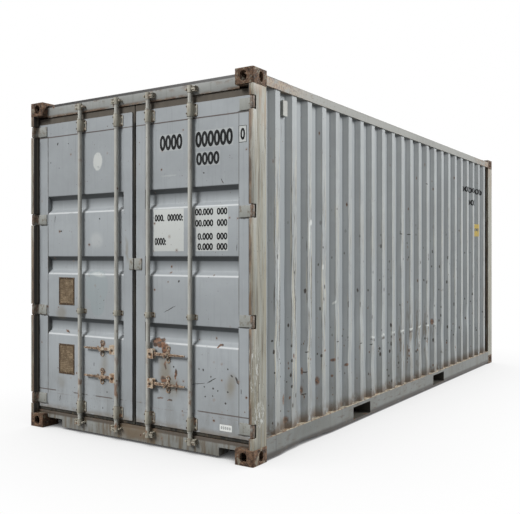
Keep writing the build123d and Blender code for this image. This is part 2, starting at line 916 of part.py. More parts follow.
# Handle catches: a plate with a ring above and below the handle, and a lip under it
with BuildPart() as handle_catches:
    for level in handle_heights:
        with BuildSketch(facing_rear(panel_y)):
            with Locations((catch_x, level)):
                Rectangle(catch_web, catch_ring_spacing)
            for side in (-1, 1):
                with Locations((catch_x, level + side * catch_ring_spacing / 2)):
                    Circle(catch_ring_radius)
            for side in (-1, 1):
                with Locations((catch_x, level + side * catch_ring_spacing / 2)):
                    Circle(catch_ring_hole, mode=Mode.SUBTRACT)
        extrude(amount=catch_plate)
        lip_top = level - handle_root_height / 2 - running_clearance
        box_between(
            (catch_x - catch_lip_width / 2, catch_x + catch_lip_width / 2),
            (panel_y - catch_lip_reach, panel_y),
            (lip_top - catch_plate, lip_top),
        )
write_pair(handle_catches.part, "handle_catches")


# Cam keepers: a forked block for each cam arm and a round stud on the other side of the bar
def keepers(level):
    """The keepers of all four bars at one level."""
    with BuildPart() as result:
        for bar_x in (inner_bar_x, outer_bar_x):
            near = bar_x + keeper_gap
            gap = cam_arm_height / 2 + running_clearance
            box_between(
                (near, near + keeper_width),
                (door_y - keeper_reach, door_y),
                (level - gap - keeper_wall, level + gap + keeper_wall),
            )
            box_between(
                (near, near + keeper_width),
                (door_y - keeper_reach, door_y - keeper_wall),
                (level - gap, level + gap),
                mode=Mode.SUBTRACT,
            )
            with BuildSketch(facing_rear(door_y)):
                with Locations((bar_x - keeper_gap - keeper_knob_radius, level)):
                    Circle(keeper_knob_radius)
            extrude(amount=keeper_reach)
        mirror(about=Plane.YZ)
    return result.part


write(keepers(sill_cam_z), "sill_cam_keepers")
write(keepers(header_cam_z), "header_cam_keepers")

# Door cleats: the two halves of the plate that bridges the gap between the doors
cleat_z = (door_bottom + cleat_level - cleat_height / 2, door_bottom + cleat_level + cleat_height / 2)
cleat_y = (door_y - cleat_thickness, door_y)
with BuildPart() as right_cleat:
    box_between((running_clearance, running_clearance + right_cleat_width), cleat_y, cleat_z)
write(right_cleat.part, "right_door_cleat")
with BuildPart() as left_cleat:
    box_between((-running_clearance - left_cleat_width, -running_clearance), cleat_y, cleat_z)
write(left_cleat.part, "left_door_cleat")

# Data plates on the left door
plate_x = panel_right - plate_offset
with BuildPart() as data_plates:
    for plate_height, level in (
        (upper_plate_height, upper_plate_level),
        (lower_plate_height, lower_plate_level),
    ):
        box_between(
            (-plate_x - plate_width / 2, -plate_x + plate_width / 2),
            (panel_y - plate_thickness, panel_y),
            (door_bottom + level - plate_height / 2, door_bottom + level + plate_height / 2),
        )
write(data_plates.part, "data_plates")
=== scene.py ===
# %% [markdown]
# # A weathered steel shipping container
# The packed CAD model is the frame: every piece here rides on one of its bodies, in metres, in the same
# axes. X runs across the container, Y from the door end to the blind end, and Z up.
# %% Load the packed container
import json
import math
import random

import bpy
from mathutils import Matrix, Vector


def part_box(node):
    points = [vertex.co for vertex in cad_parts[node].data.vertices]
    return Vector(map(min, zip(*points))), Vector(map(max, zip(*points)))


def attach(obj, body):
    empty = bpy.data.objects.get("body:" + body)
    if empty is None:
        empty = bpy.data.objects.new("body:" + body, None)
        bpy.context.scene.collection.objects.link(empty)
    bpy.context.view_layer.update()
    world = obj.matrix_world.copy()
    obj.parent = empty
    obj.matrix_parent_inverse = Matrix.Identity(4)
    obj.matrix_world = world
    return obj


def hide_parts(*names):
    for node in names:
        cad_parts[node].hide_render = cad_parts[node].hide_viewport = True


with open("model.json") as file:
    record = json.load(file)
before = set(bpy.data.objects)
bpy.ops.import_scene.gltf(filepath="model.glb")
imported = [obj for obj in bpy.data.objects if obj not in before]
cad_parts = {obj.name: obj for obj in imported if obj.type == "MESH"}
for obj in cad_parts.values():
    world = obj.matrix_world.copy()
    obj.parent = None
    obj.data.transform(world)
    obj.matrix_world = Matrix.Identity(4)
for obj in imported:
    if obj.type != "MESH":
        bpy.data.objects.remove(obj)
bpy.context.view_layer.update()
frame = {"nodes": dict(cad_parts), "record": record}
nodes = frame["nodes"]
bodies = frame["record"]["behaviour"]["bodies"]
body_of_node = {node: body for body, group in bodies.items() for node in group}
bpy.ops.object.select_all(action="DESELECT")
print("CAD nodes:", len(nodes))

# %% [markdown]
# ## Planes that many pieces share
# The doors and the walls already have their places in the CAD model, so they are read from it.
# %% Read the shared planes
frame_low, frame_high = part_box("right_door_frame")
panel_low, panel_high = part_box("right_door_panel")
door_y, panel_y = frame_low.y, panel_low.y
ridge_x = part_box("right_side_wall")[1].x
print("door, panel and ridge planes:", [round(place, 4) for place in (door_y, panel_y, ridge_x)])


# %% [markdown]
# ## Colours as they are seen
# A shader counts light, and half of that light looks much brighter than a middle grey. Colours are picked on a
# screen, so each is written as a screen tone, three numbers up to 255, and turned into light in one place.
# %% Screen tones
def light_of(colour):
    """A screen tone as the linear colour that a shader wants. A socket or a linear colour stays as it is."""
    if not isinstance(colour, tuple) or len(colour) == 4:
        return colour
    levels = [value / 255 for value in colour]
    return tuple(v / 12.92 if v <= 0.04045 else ((v + 0.055) / 1.055) ** 2.4 for v in levels) + (1.0,)


def shade(colour, amount):
    """The same colour, lighter or darker."""
    return tuple(min(1.0, value * amount) for value in light_of(colour)[:3]) + (1.0,)


RUST_DARK = (62, 44, 34)
RUST = (98, 68, 48)
RUST_PALE = (133, 98, 70)
GRIME = (84, 80, 68)
PALE = (196, 199, 196)
print("rust as light:", [round(value, 3) for value in light_of(RUST)])


# %% [markdown] ## A small kit for finishes A steel finish is built up as a painter and the weather build
# it: a base coat, then fading, streaks, chips and rust. Each layer is a mask between 0 and 1 and a colour
# that the mask lays over what is below it. The nodes could be added and linked one by one, but a recipe
# reads better as a sum.
class Wiring:
    """Short ways to add shader nodes to a tree."""

    def __init__(self, tree):
        self.tree = tree

    def wire(self, value, socket):
        if isinstance(value, bpy.types.NodeSocket):
            self.tree.links.new(value, socket)
        else:
            socket.default_value = value

    def node(self, kind, out=0, plugs=(), **settings):
        made = self.tree.nodes.new("ShaderNode" + kind)
        for setting, value in settings.items():
            setattr(made, setting, value)
        for key, value in dict(plugs).items():
            self.wire(value, made.inputs[key])
        return made.outputs[out]

    def math(self, what, *values):
        return self.node("Math", plugs=enumerate(values), operation=what)

    def times(self, first, *others):
        for other in others:
            first = self.math("MULTIPLY", first, other)
        return first

    def most(self, first, *others):
        for other in others:
            first = self.math("MAXIMUM", first, other)
        return first

    def ramp(self, value, low, high, top=1.0):
        """A soft mask: nothing where value is low, and top where it is high."""
        plugs = {"Value": value, "From Min": low, "From Max": high, "To Max": top}
        return self.node("MapRange", plugs=plugs, interpolation_type="SMOOTHSTEP")

    def line(self, value, middle, edge, core):
        """A soft line where value is near middle: nothing beyond edge, and full within core."""
        return self.ramp(self.math("ABSOLUTE", self.math("SUBTRACT", value, middle)), edge, core)


print("wiring helpers:", [name for name in vars(Wiring) if not name.startswith("_")])


# %% [markdown]
# ## Masks
# Stretched noise makes clouds and streaks, cells make chips, and a ball squeezed by a Mapping node is an
# oval mark. A second noise that pushes the place about makes every outline ragged, and a Bevel node finds
# the sharp edges. All of them read Object coordinates, which are the container's own metres, so a mark
# stays where it is put.
# %% Masks
class Masks(Wiring):
    """A material with the shapes that dirt, chips, scratches and worn edges take."""

    def __init__(self, name):
        self.material = bpy.data.materials.new(name)
        self.material.use_nodes = True
        super().__init__(self.material.node_tree)
        self.here = self.node("TexCoord", "Object")
        self.x, self.y, self.z = self.node("SeparateXYZ", plugs={0: self.here}).node.outputs
        self.out = self.math("ABSOLUTE", self.x)
        self.ragged = self.wobble(0.02, 0.012)
        self.torn = self.wobble(0.045, 0.05)
        self.drifting = self.wobble(0.12, 0.09)

    def wobble(self, size, reach):
        """The place, pushed about by noise of that size."""
        noise = self.node("TexNoise", 1, {"Vector": self.here, "Scale": 1 / size, "Detail": 3.0})
        centred = self.node("VectorMath", plugs=enumerate((noise, (0.5, 0.5, 0.5))), operation="SUBTRACT")
        plugs = enumerate((centred, (reach, reach, reach), self.here))
        return self.node("VectorMath", plugs=plugs, operation="MULTIPLY_ADD")

    def stretched(self, place, lengths):
        """The place, scaled for a pattern that long in X, Y and Z, or of one length in all three."""
        lengths = lengths if isinstance(lengths, tuple) else (lengths,) * 3
        return self.node("Mapping", plugs={"Vector": place, "Scale": tuple(1 / length for length in lengths)})

    def cloud(self, lengths, low, high, top=1.0):
        """Soft patches."""
        place = self.stretched(self.here, lengths)
        plugs = {"Vector": place, "Scale": 1.0, "Detail": 5.0, "Roughness": 0.6}
        return self.ramp(self.node("TexNoise", plugs=plugs), low, high, top)

    def broken(self, mask, lengths, low, high, top=1.0):
        """A mask that a cloud breaks up."""
        return self.times(mask, self.cloud(lengths, low, high, top))

    def specks(self, lengths, share):
        """Ragged chips, one at most in each cell."""
        near = self.node("TexVoronoi", plugs={"Vector": self.stretched(self.ragged, lengths), "Scale": 1.0})
        luck = self.node("SeparateColor", plugs={0: near.node.outputs["Color"]})
        reach = self.times(self.math("POWER", luck, 3.0), share)
        return self.ramp(near, reach, self.times(reach, 0.6))

    def mark(self, centre, radii, turn=0.0, soft=0.35, outline="ragged", axis=1):
        """One oval mark, turned about Y, or about X where axis is 0."""
        rotation = [0.0, 0.0, 0.0]
        rotation[axis] = math.radians(turn)
        plugs = {"Vector": getattr(self, outline), "Location": centre, "Rotation": rotation, "Scale": radii}
        place = self.node("Mapping", plugs=plugs, vector_type="TEXTURE")
        return self.ramp(self.node("VectorMath", 1, {0: place}, operation="LENGTH"), 1.0, 1.0 - soft)

    def marks(self, rows):
        """Several marks as one mask, each a tuple of mark's arguments and, first, how strong it is."""
        total = 0.0
        for strength, *placing in rows:
            total = self.math("MAXIMUM", total, self.times(self.mark(*placing), strength))
        return total

    def edges(self, radius, high=0.86):
        """The rounded band along every sharp edge."""
        rounded = self.node("Bevel", plugs={"Radius": radius}, samples=4)
        flat = self.node("NewGeometry", 1)
        same = self.node("VectorMath", 1, {0: rounded, 1: flat}, operation="DOT_PRODUCT")
        return self.ramp(same, 0.99, high)


print("masks:", [name for name in vars(Masks) if not name.startswith("_")])


# %% [markdown]
# ## Layers
# The third part lays tones over one another and plugs the result into the shader. Dark rust, rubber and
# stencil paint get little shine, because a full gloss would turn them grey.
# %% Layers
class Finish(Masks):
    """A finish that is built up in layers. colour is what has been laid so far."""

    def mix(self, mask, under, over):
        return self.node("Mix", 2, {0: mask, 6: light_of(under), 7: light_of(over)}, data_type="RGBA")

    def blotch(self, lengths, low, high, under, over):
        """Two tones in patches."""
        return self.mix(self.cloud(lengths, low, high), under, over)

    def lay(self, mask, over, amount=1.0):
        """Lays a tone where the mask is, as strongly as amount says."""
        if amount != 1.0:
            mask = self.times(mask, amount)
        self.colour = self.mix(mask, self.colour, over)

    def close(self, roughness, height, depth, shine=0.5):
        """Plugs the layers into the shader, with bumps of that depth, and returns the material."""
        surface = self.tree.nodes["Principled BSDF"].inputs
        bump = self.node("Bump", plugs={"Strength": 0.6, "Distance": depth, "Height": height})
        self.wire(self.colour, surface["Base Color"])
        self.wire(roughness, surface["Roughness"])
        self.wire(shine, surface["Specular IOR Level"])
        self.wire(bump, surface["Normal"])
        return self.material


print("layers:", [name for name in vars(Finish) if not name.startswith("_")])


# %% [markdown]
# ## Old paint on steel
# The same weather falls on every painted piece, so one recipe serves them all, with a different coat and
# strength. A broad cloud fades the coat, tall thin clouds draw the rain streaks, and small cells become
# chips. Edges lose their paint first, which is what a worn container shows best.
# %% Paint recipe
def painted(name, coat, marks=None, streaks=0.3, chips=0.2, wear=0.5, dirt=0.3, stretch=1.0, rough=0.55):
    """Weathered paint. marks(finish) may lay its own marks over the coat, and returns their height."""
    finish = Finish(name)
    finish.colour = finish.blotch((0.7, 0.7, 0.45), 0.35, 0.66, shade(coat, 0.93), shade(coat, 1.07))
    rain = finish.cloud((0.03, 0.03, 0.55 * stretch), 0.5, 0.8, streaks)
    finish.lay(rain, finish.mix(0.5, shade(coat, 0.62), GRIME))
    finish.lay(finish.cloud((0.05, 0.05, 0.4 * stretch), 0.58, 0.78, 0.3), shade(coat, 1.3))
    foot = finish.ramp(finish.z, 0.75, 0.12, dirt)
    finish.lay(finish.broken(foot, (0.12, 0.12, 0.3), 0.35, 0.7), GRIME)
    height = marks(finish) if marks else None
    small_cell = (0.022, 0.022, 0.022 * stretch)
    large_cell = (0.075, 0.075, 0.075 * stretch)
    small = finish.broken(finish.specks(small_cell, chips), 0.35, 0.42, 0.62)
    halo = finish.specks(large_cell, chips * 1.5)
    finish.lay(halo, finish.mix(0.6, shade(coat, 0.7), RUST_PALE), 0.4)
    bare = finish.most(small, finish.specks(large_cell, chips * 0.8))
    finish.lay(bare, finish.blotch(0.01, 0.4, 0.6, RUST_DARK, RUST))
    worn = finish.broken(finish.edges(0.006), 0.06, 0.42, 0.62, wear)
    finish.lay(worn, RUST)
    raised = finish.math("SUBTRACT", 1.0, finish.most(bare, worn))
    if height is not None:
        raised = finish.math("ADD", raised, height)
    raised = finish.math("ADD", raised, finish.cloud(0.006, 0.2, 0.8, 0.12))
    roughness = finish.math("ADD", finish.ramp(finish.most(bare, worn, rain), 0.0, 1.0, 0.35), rough)
    return finish.close(roughness, raised, 0.0012)


pocket_paint = painted("pocket_paint", (66, 65, 61), chips=0.3, wear=0.9, dirt=0.5)
trim_paint = painted("trim_paint", (157, 158, 152), streaks=0.35, chips=0.17, wear=0.75, dirt=0.35)
roof_paint = painted("roof_paint", (118, 121, 120), streaks=0.1, dirt=0.0, rough=0.8)
print("a plain coat has", len(trim_paint.node_tree.nodes), "nodes")

# %% [markdown]
# ## The doors' own marks
# A worn pale oval, faded patches, scrapes, a curved scratch and the rust round the catches are placed one
# by one. A painted texture could hold them, but marks made by nodes stay sharp at any distance and need no
# picture. Each is an oval with a ragged edge, and a long thin oval is a scratch. The two doors, 1 on the
# right and -1 on the left, have their own rows: strength, x, z, half width, half height, and where needed a
# turn and a softness.
# %% Places of the door marks
STAINS = {
    1: [(1.0, 0.330, 0.60, 0.10, 0.24, 0, 0.9), (1.0, 0.40, 0.50, 0.12, 0.13, 0, 0.9),
        (0.9, 0.975, 0.56, 0.07, 0.13, 0, 0.9)],
    -1: [(0.6, -0.35, 0.60, 0.07, 0.22, 0, 0.9), (0.7, -0.875, 1.04, 0.09, 0.10, 0, 0.8),
         (0.4, -0.875, 0.42, 0.08, 0.09, 0, 0.8), (0.7, -0.084, 1.57, 0.03, 0.14, 0, 0.8)],
}
PALE_SPOTS = {
    1: [(0.3, 0.37, 2.16, 0.09, 0.006)],
    -1: [(0.9, -0.424, 2.329, 0.058, 0.083, 0, 0.15), (0.5, -0.42, 1.37, 0.11, 0.028, 8, 0.7),
         (0.3, -0.44, 1.66, 0.10, 0.09, 0, 0.6)],
}
FADED = {
    1: [],
    -1: [(0.45, -0.44, 1.27, 0.15, 0.16, 0, 0.12), (0.45, -0.425, 1.12, 0.09, 0.11, 0, 0.12)],
}
RUST_SPOTS = {
    1: [(1.0, 0.265, 0.835, 0.085, 0.045, 12, 0.25), (1.0, 0.335, 0.775, 0.045, 0.07, 0, 0.4),
        (1.0, 0.44, 0.60, 0.016, 0.045, 12, 0.3), (1.0, 0.452, 0.50, 0.010, 0.06, 0, 0.5),
        (0.9, 0.375, 0.385, 0.035, 0.010, 0, 0.4), (0.8, 0.28, 0.395, 0.04, 0.009, 0, 0.4),
        (1.0, 0.864, 0.846, 0.03, 0.010, -15), (0.9, 0.335, 0.66, 0.02, 0.05, 0, 0.6),
        (0.9, 0.32, 0.545, 0.05, 0.03, 0, 0.5)],
    -1: [(1.0, -0.819, 0.863, 0.05, 0.006, 10), (0.9, -0.35, 0.79, 0.03, 0.03, 0, 0.6),
         (0.9, -0.35, 0.55, 0.03, 0.03, 0, 0.6)],
}
SCRATCHES = {
    1: [(1.0, 0.379, 1.107, 0.075, 0.0035, -25), (1.0, 0.665, 0.545, 0.080, 0.003, -10),
        (1.0, 0.795, 0.580, 0.055, 0.004, -27), (1.0, 0.898, 2.088, 0.026, 0.0035, 60),
        (1.0, 1.035, 0.60, 0.010, 0.035, -25), (0.9, 1.073, 0.524, 0.005, 0.02),
        (0.9, 0.985, 0.632, 0.014, 0.008, 40), (1.0, 0.472, 1.328, 0.008, 0.012, 30),
        (1.0, 0.725, 0.528, 0.008, 0.007), (1.0, 0.81, 0.522, 0.010, 0.008), (1.0, 0.856, 0.51, 0.007, 0.006),
        (1.0, 0.949, 0.509, 0.009, 0.008), (1.0, 0.736, 0.454, 0.007, 0.008),
        (1.0, 0.806, 0.465, 0.006, 0.006), (1.0, 0.928, 0.422, 0.009, 0.009),
        (1.0, 0.949, 0.681, 0.007, 0.008), (1.0, 0.717, 0.655, 0.007, 0.010),
        (1.0, 0.674, 0.66, 0.007, 0.008), (1.0, 0.789, 0.609, 0.008, 0.007),
        (1.0, 0.42, 0.655, 0.010, 0.008, 30), (0.9, 0.72, 2.159, 0.010, 0.006, 20),
        (0.8, 1.032, 1.588, 0.003, 0.03)],
    -1: [(1.0, -0.959, 1.855, 0.004, 0.035, 8), (1.0, -0.88, 1.744, 0.013, 0.008),
         (1.0, -0.892, 0.274, 0.004, 0.03, 10), (1.0, -0.469, 0.602, 0.005, 0.02),
         (1.0, -0.925, 2.52, 0.009, 0.014, 20), (0.9, -0.787, 2.513, 0.006, 0.006),
         (0.9, -1.016, 2.358, 0.006, 0.006), (1.0, -0.401, 1.842, 0.008, 0.008),
         (0.9, -0.906, 2.304, 0.006, 0.006), (0.9, -0.315, 0.382, 0.007, 0.008),
         (0.9, -0.362, 0.243, 0.006, 0.01)],
}


def on_door(rows, outline="ragged"):
    """Turns the rows above into marks on the door panels."""
    placed = []
    for strength, x, z, wide, tall, *rest in rows:
        turn, soft = (*rest, *(0, 0.22)[len(rest):])
        placed.append((strength, (x, panel_y, z), (wide, 0.09, tall), turn, soft, outline))
    return placed


door_tables = (STAINS, PALE_SPOTS, FADED, RUST_SPOTS, SCRATCHES)
print("marks on the doors:", sum(len(table[side]) for table in door_tables for side in (1, -1)))

# %% [markdown]
# ## Bands, hinges and overpainted blocks
# A door panel has pressed bands at an even pitch, whose undersides get painted shade and whose lower folds get
# a painted highlight. The band positions follow from the middle of the panel, and the hinges from the ends of
# the door frame. Where numbers were changed, a brighter block of paint lies under them. Each block is left,
# right, bottom, top and how strong it is, and its edges are a little uneven, as a brush leaves them.
# %% Places of the bands, the hinges and the blocks
BAND_PITCH, BAND_MOUTH = 0.534, 0.152
band_middle = (panel_low.z + panel_high.z) / 2
SEAM_LEVELS = {2.586: 0.30, 0.336: 0.42}
STILE_LINE, STILE_EDGE, BAND_START, TOP_RAIL_FOOT, DOOR_FOOT = 1.052, 1.047, 0.12, 2.60, 0.178
LOWEST_HINGE_UP, HIGHEST_HINGE_DOWN, BLADE_HALF, BLADE_X = 0.080, 0.064, 0.049, 1.098
HINGE_SHARES = (0.0, 0.332, 0.67, 1.0)
low_hinge = frame_low.z + LOWEST_HINGE_UP
hinge_span = frame_high.z - HIGHEST_HINGE_DOWN - low_hinge
PAINTED_BLOCKS = {
    1: [(0.270, 0.514, 2.352, 2.490, 0.30), (0.634, 1.002, 2.350, 2.488, 0.30),
        (1.049, 1.124, 2.358, 2.492, 0.75), (0.642, 0.878, 2.212, 2.326, 0.30),
        (0.207, 0.525, 1.562, 1.898, 0.92), (0.615, 0.951, 1.742, 1.898, 0.78),
        (0.645, 0.951, 1.562, 1.745, 0.78)],
    -1: [],
}
print("middle band, lowest hinge and span:", [round(z, 3) for z in (band_middle, low_hinge, hinge_span)])


# %% [markdown]
# ## Layers of the door paint
# The layers go on from broad to fine: seams and blocks, the painted shade and highlights of the bands, dust
# and stains, then rust and scratches, so that no mark is painted over. Lamps alone would leave the bands flat,
# because they are soft, so painted shade follows the direction that the steel faces and the depth of the
# recess, and a painted highlight runs along each lower fold. A painted shadow also lies under each hinge
# blade.
# %% Lay the door's bands, seams and blocks
def lay_blocks(finish, side):
    uneven = finish.node("SeparateXYZ", plugs={0: finish.wobble(0.012, 0.004)}).node.outputs
    soft = 0.004
    for left, right, bottom, top, strength in PAINTED_BLOCKS[side]:
        block = 1.0
        for place, low, high in ((uneven[0], left, right), (uneven[2], bottom, top)):
            within = finish.times(finish.ramp(place, low, low + soft), finish.ramp(place, high, high - soft))
            block = finish.times(within, block)
        finish.lay(finish.broken(block, 0.03, 0.2, 0.36, strength), (190, 193, 190))


def lay_bands(finish):
    """Painted shade on the undersides and on the slopes that face up, a painted shadow in each recess that is
    deepest under the upper fold, and a painted highlight along each lower fold.
    """
    tilt = finish.node("SeparateXYZ", 2, {0: finish.node("NewGeometry", 1)})
    # Painted shade: steel that faces down is darkened, and steel that faces up a little, whatever the lamps
    # give it.
    finish.lay(finish.ramp(tilt, -0.25, -0.5, 0.95), (38, 42, 44))
    finish.lay(finish.ramp(tilt, 0.15, 0.7, 0.25), (118, 122, 124))
    inner = finish.line(finish.z, band_middle, BAND_PITCH * 1.5, BAND_PITCH * 1.45)
    drop = finish.math("SUBTRACT", finish.z, band_middle)
    drop = finish.math("WRAP", drop, BAND_PITCH / 2, -BAND_PITCH / 2)
    # A painted shadow in the recess of each band, deepest under the upper fold.
    sunk = finish.ramp(finish.y, panel_y + 0.012, panel_y + 0.03)
    finish.lay(finish.times(sunk, finish.ramp(drop, -0.035, 0.048, 0.66)), (62, 67, 70))
    # A painted highlight along the lower fold of each band.
    foot = finish.times(finish.line(drop, -BAND_MOUTH / 2, 0.010, 0.003), inner)
    foot = finish.times(foot, finish.ramp(finish.out, STILE_EDGE, STILE_EDGE - 0.003))
    foot = finish.times(foot, finish.ramp(finish.out, BAND_START, BAND_START + 0.01))
    finish.lay(finish.broken(foot, 0.1, 0.2, 0.4, 0.7), (200, 203, 204))


def door_marks(side):
    """The marks of the right-hand door, 1, or the left-hand door, -1."""
    def marks(finish):
        for level, low in SEAM_LEVELS.items():
            seam = finish.line(finish.z, level, 0.007, 0.002)
            finish.lay(finish.broken(seam, (0.2, 0.1, 0.4), low, low + 0.1, 0.85), RUST_DARK)
        stile = finish.line(finish.out, STILE_LINE, 0.006, 0.002)
        stile = finish.times(stile, finish.ramp(finish.z, TOP_RAIL_FOOT, TOP_RAIL_FOOT - 0.03))
        finish.lay(finish.broken(stile, (0.4, 0.4, 0.35), 0.36, 0.5, 0.75), (78, 76, 70))
        lay_blocks(finish, side)
        lay_bands(finish)
        silt = finish.broken(finish.ramp(finish.z, DOOR_FOOT + 0.052, DOOR_FOOT), (0.08, 0.1, 0.05), 0.3, 0.55)
        finish.lay(silt, (104, 90, 72), 0.55)
        # Painted shadow: a dark line on the door panel under each hinge blade.
        under_blades = [low_hinge + share * hinge_span - BLADE_HALF for share in HINGE_SHARES]
        blade_shadows = [(0.95, side * BLADE_X, level, 0.062, 0.007) for level in under_blades]
        finish.lay(finish.marks(on_door(blade_shadows)), (52, 50, 46))
        finish.lay(finish.marks(on_door(STAINS[side], "drifting")), (112, 102, 80), 0.66)
        if FADED[side]:
            finish.lay(finish.marks(on_door(FADED[side])), (136, 148, 150))
        finish.lay(finish.broken(finish.marks(on_door(PALE_SPOTS[side])), 0.05, 0.28, 0.45), PALE)
        rust = finish.marks(on_door(RUST_SPOTS[side], "torn"))
        finish.lay(rust, finish.blotch(0.02, 0.4, 0.6, (54, 40, 30), (118, 80, 54)))
        scratch = finish.marks(on_door(SCRATCHES[side]))
        finish.lay(scratch, (34, 31, 28), 0.97)
        return finish.times(finish.most(rust, scratch), -0.6)

    return marks


DOOR_COAT = (149, 154, 157)
door_wear = {"streaks": 0.25, "wear": 0.45, "dirt": 0.35}
door_paint = {
    "right": painted("right_door_paint", DOOR_COAT, door_marks(1), **door_wear),
    "left": painted("left_door_paint", DOOR_COAT, door_marks(-1), **door_wear),
}
print("door paint has", len(door_paint["right"].node_tree.nodes), "nodes")

# %% [markdown]
# ## The walls
# The crests of a corrugated wall rub against other containers, so long scratches run down them and nowhere
# else. The valleys get painted shade, dirt gathers on the ledge of the bottom rail, and knocks low down have
# let the rust in. The marks lie on folded steel, so each is deep enough in X to reach the slope that it sits
# on.
# %% Places of the wall marks
CHIPS = {
    (0.009, 0.011): [
        (-2.592, 0.694), (-2.592, 0.590), (-2.585, 0.324), (-2.737, 0.882), (-2.722, 0.641), (-2.373, 0.758),
        (-2.365, 0.683), (-1.556, 0.808), (-0.573, 0.370), (-1.97, 1.60), (-1.72, 1.94), (1.2, 1.30),
    ],
    (0.013, 0.017): [
        (-2.473, 0.704), (-2.473, 0.501), (-1.993, 0.684), (-1.885, 0.443), (-1.360, 0.937), (-0.791, 0.613),
        (-0.195, 0.434), (0.721, 0.949),
    ],
    (0.026, 0.007): [
        (-2.252, 0.580), (-2.225, 0.742), (-2.261, 0.401), (-1.864, 0.579), (-1.611, 0.495), (-1.709, 0.775),
        (-1.239, 0.712), (-1.009, 0.678), (-0.278, 1.76), (-0.051, 1.76), (0.465, 2.349),
    ],
    (0.006, 0.035): [
        (-1.500, 1.092), (-1.251, 1.075), (-0.915, 0.393), (-0.662, 0.480), (-2.859, 1.170), (-2.852, 0.632),
    ],
    (0.005, 0.33): [(-2.168, 1.25), (-2.424, 1.23), (-2.655, 1.05)],
}
RUSTY = [
    (-2.029, 0.477, 0.030, 0.048), (-2.282, 0.436, 0.020, 0.050), (-1.767, 0.620, 0.034, 0.018),
    (-1.510, 0.546, 0.034, 0.020), (-2.449, 0.737, 0.014, 0.028), (-2.545, 0.404, 0.018, 0.060),
    (-2.526, 0.240, 0.040, 0.045), (-2.276, 0.591, 0.014, 0.040), (-1.774, 0.482, 0.016, 0.018),
    (-1.940, 0.724, 0.020, 0.014), (-0.043, 0.511, 0.016, 0.024), (0.670, 0.765, 0.030, 0.050),
]
PALE_LINES = [(-2.20, 1.70, 0.012, 0.16), (-2.67, 1.42, 0.008, 0.30)]
PALE_CHIPS = [(-1.75, 1.12, 0.035, 0.014, 30), (-2.18, 1.80, 0.022, 0.03), (-1.964, 1.433, 0.016, 0.03)]
DRIP, DRIP_HEAD = (-2.575, 2.50, 0.018, 0.12, 0, 0.7), (-2.59, 2.60, 0.03, 0.02, 0, 0.6)
CREASE_LEVEL, FOLD_LEVEL = 0.745, 0.715


def on_wall(rows, strength=0.95, deep=0.14, softness=0.35):
    """Turns (y, z, half width, half height, turn, softness) into marks on the right-hand wall."""
    placed = []
    for y, z, wide, tall, *rest in rows:
        turn, soft = (*rest, *(0, softness)[len(rest):])
        placed.append((strength, (ridge_x, y, z), (deep, wide, tall), turn, soft, "ragged", 0))
    return placed


print("chips on the wall:", sum(map(len, CHIPS.values())), "rusty spots:", len(RUSTY))


# %% [markdown]
# ## Wall paint
# Paint ages differently on a crest, on a slope and in a valley, and the valleys also get painted shade; how
# far the steel lies from the middle of the container tells them apart. A row of single marks would make the
# shader too long for the crease that runs over many crests, so that crease is one line whose height a slow
# noise shifts.
# %% Wall paint
def rubbed_crests(finish):
    """Scratches down the crests, a scuffed stretch and painted shade in the valleys. Returns the crests and
    scratches.
    """
    crest = finish.ramp(finish.out, ridge_x - 0.012, ridge_x - 0.004)
    near = finish.ramp(finish.y, -0.9, -2.4)
    band = finish.times(finish.ramp(finish.z, 0.2, 0.7), finish.ramp(finish.z, 2.6, 1.9))
    rubbed = finish.times(finish.broken(crest, (0.1, 0.016, 0.5), 0.48, 0.62), finish.most(near, 0.4), band)
    finish.lay(rubbed, (176, 170, 150), 0.7)
    lines = finish.times(finish.broken(crest, (0.1, 0.007, 0.22), 0.555, 0.61), band, finish.most(near, 0.5))
    finish.lay(lines, (60, 53, 43), 0.9)
    middle = finish.mark((ridge_x, 0.1, 0.62), (0.2, 0.95, 0.55), soft=0.9, outline="drifting")
    finish.lay(finish.broken(middle, (0.1, 0.03, 0.2), 0.46, 0.60), (100, 88, 70), 0.85)
    low = finish.times(finish.ramp(finish.z, 1.1, 0.5), finish.specks((0.05, 0.05, 0.08), 0.26))
    far = finish.broken(finish.ramp(finish.y, 1.2, 2.6, 0.5), (0.05, 0.02, 0.4), 0.55, 0.7)
    finish.lay(finish.most(low, finish.times(far, crest)), RUST)
    # Painted shade in the valleys: steel more than 22 mm below the crests is darkened, most from 34 mm.
    finish.lay(finish.ramp(finish.out, ridge_x - 0.022, ridge_x - 0.034), (128, 134, 137), 0.8)
    return crest, finish.most(rubbed, lines)


def knocked_crease(finish, crest):
    """A pale crease with a dark fold below it, where many crests were struck at one height."""
    waving = finish.node("SeparateXYZ", 2, {0: finish.drifting})
    knocked = finish.times(crest, finish.ramp(finish.y, -1.10, -0.95), finish.ramp(finish.y, 0.80, 0.65))
    crease = finish.times(finish.line(waving, CREASE_LEVEL, 0.013, 0.005), knocked)
    finish.lay(finish.broken(crease, (0.1, 0.06, 0.06), 0.36, 0.48, 0.9), PALE)
    fold = finish.times(finish.line(waving, FOLD_LEVEL, 0.016, 0.006), knocked)
    finish.lay(finish.broken(fold, (0.1, 0.04, 0.05), 0.46, 0.56, 0.9), (54, 46, 38))


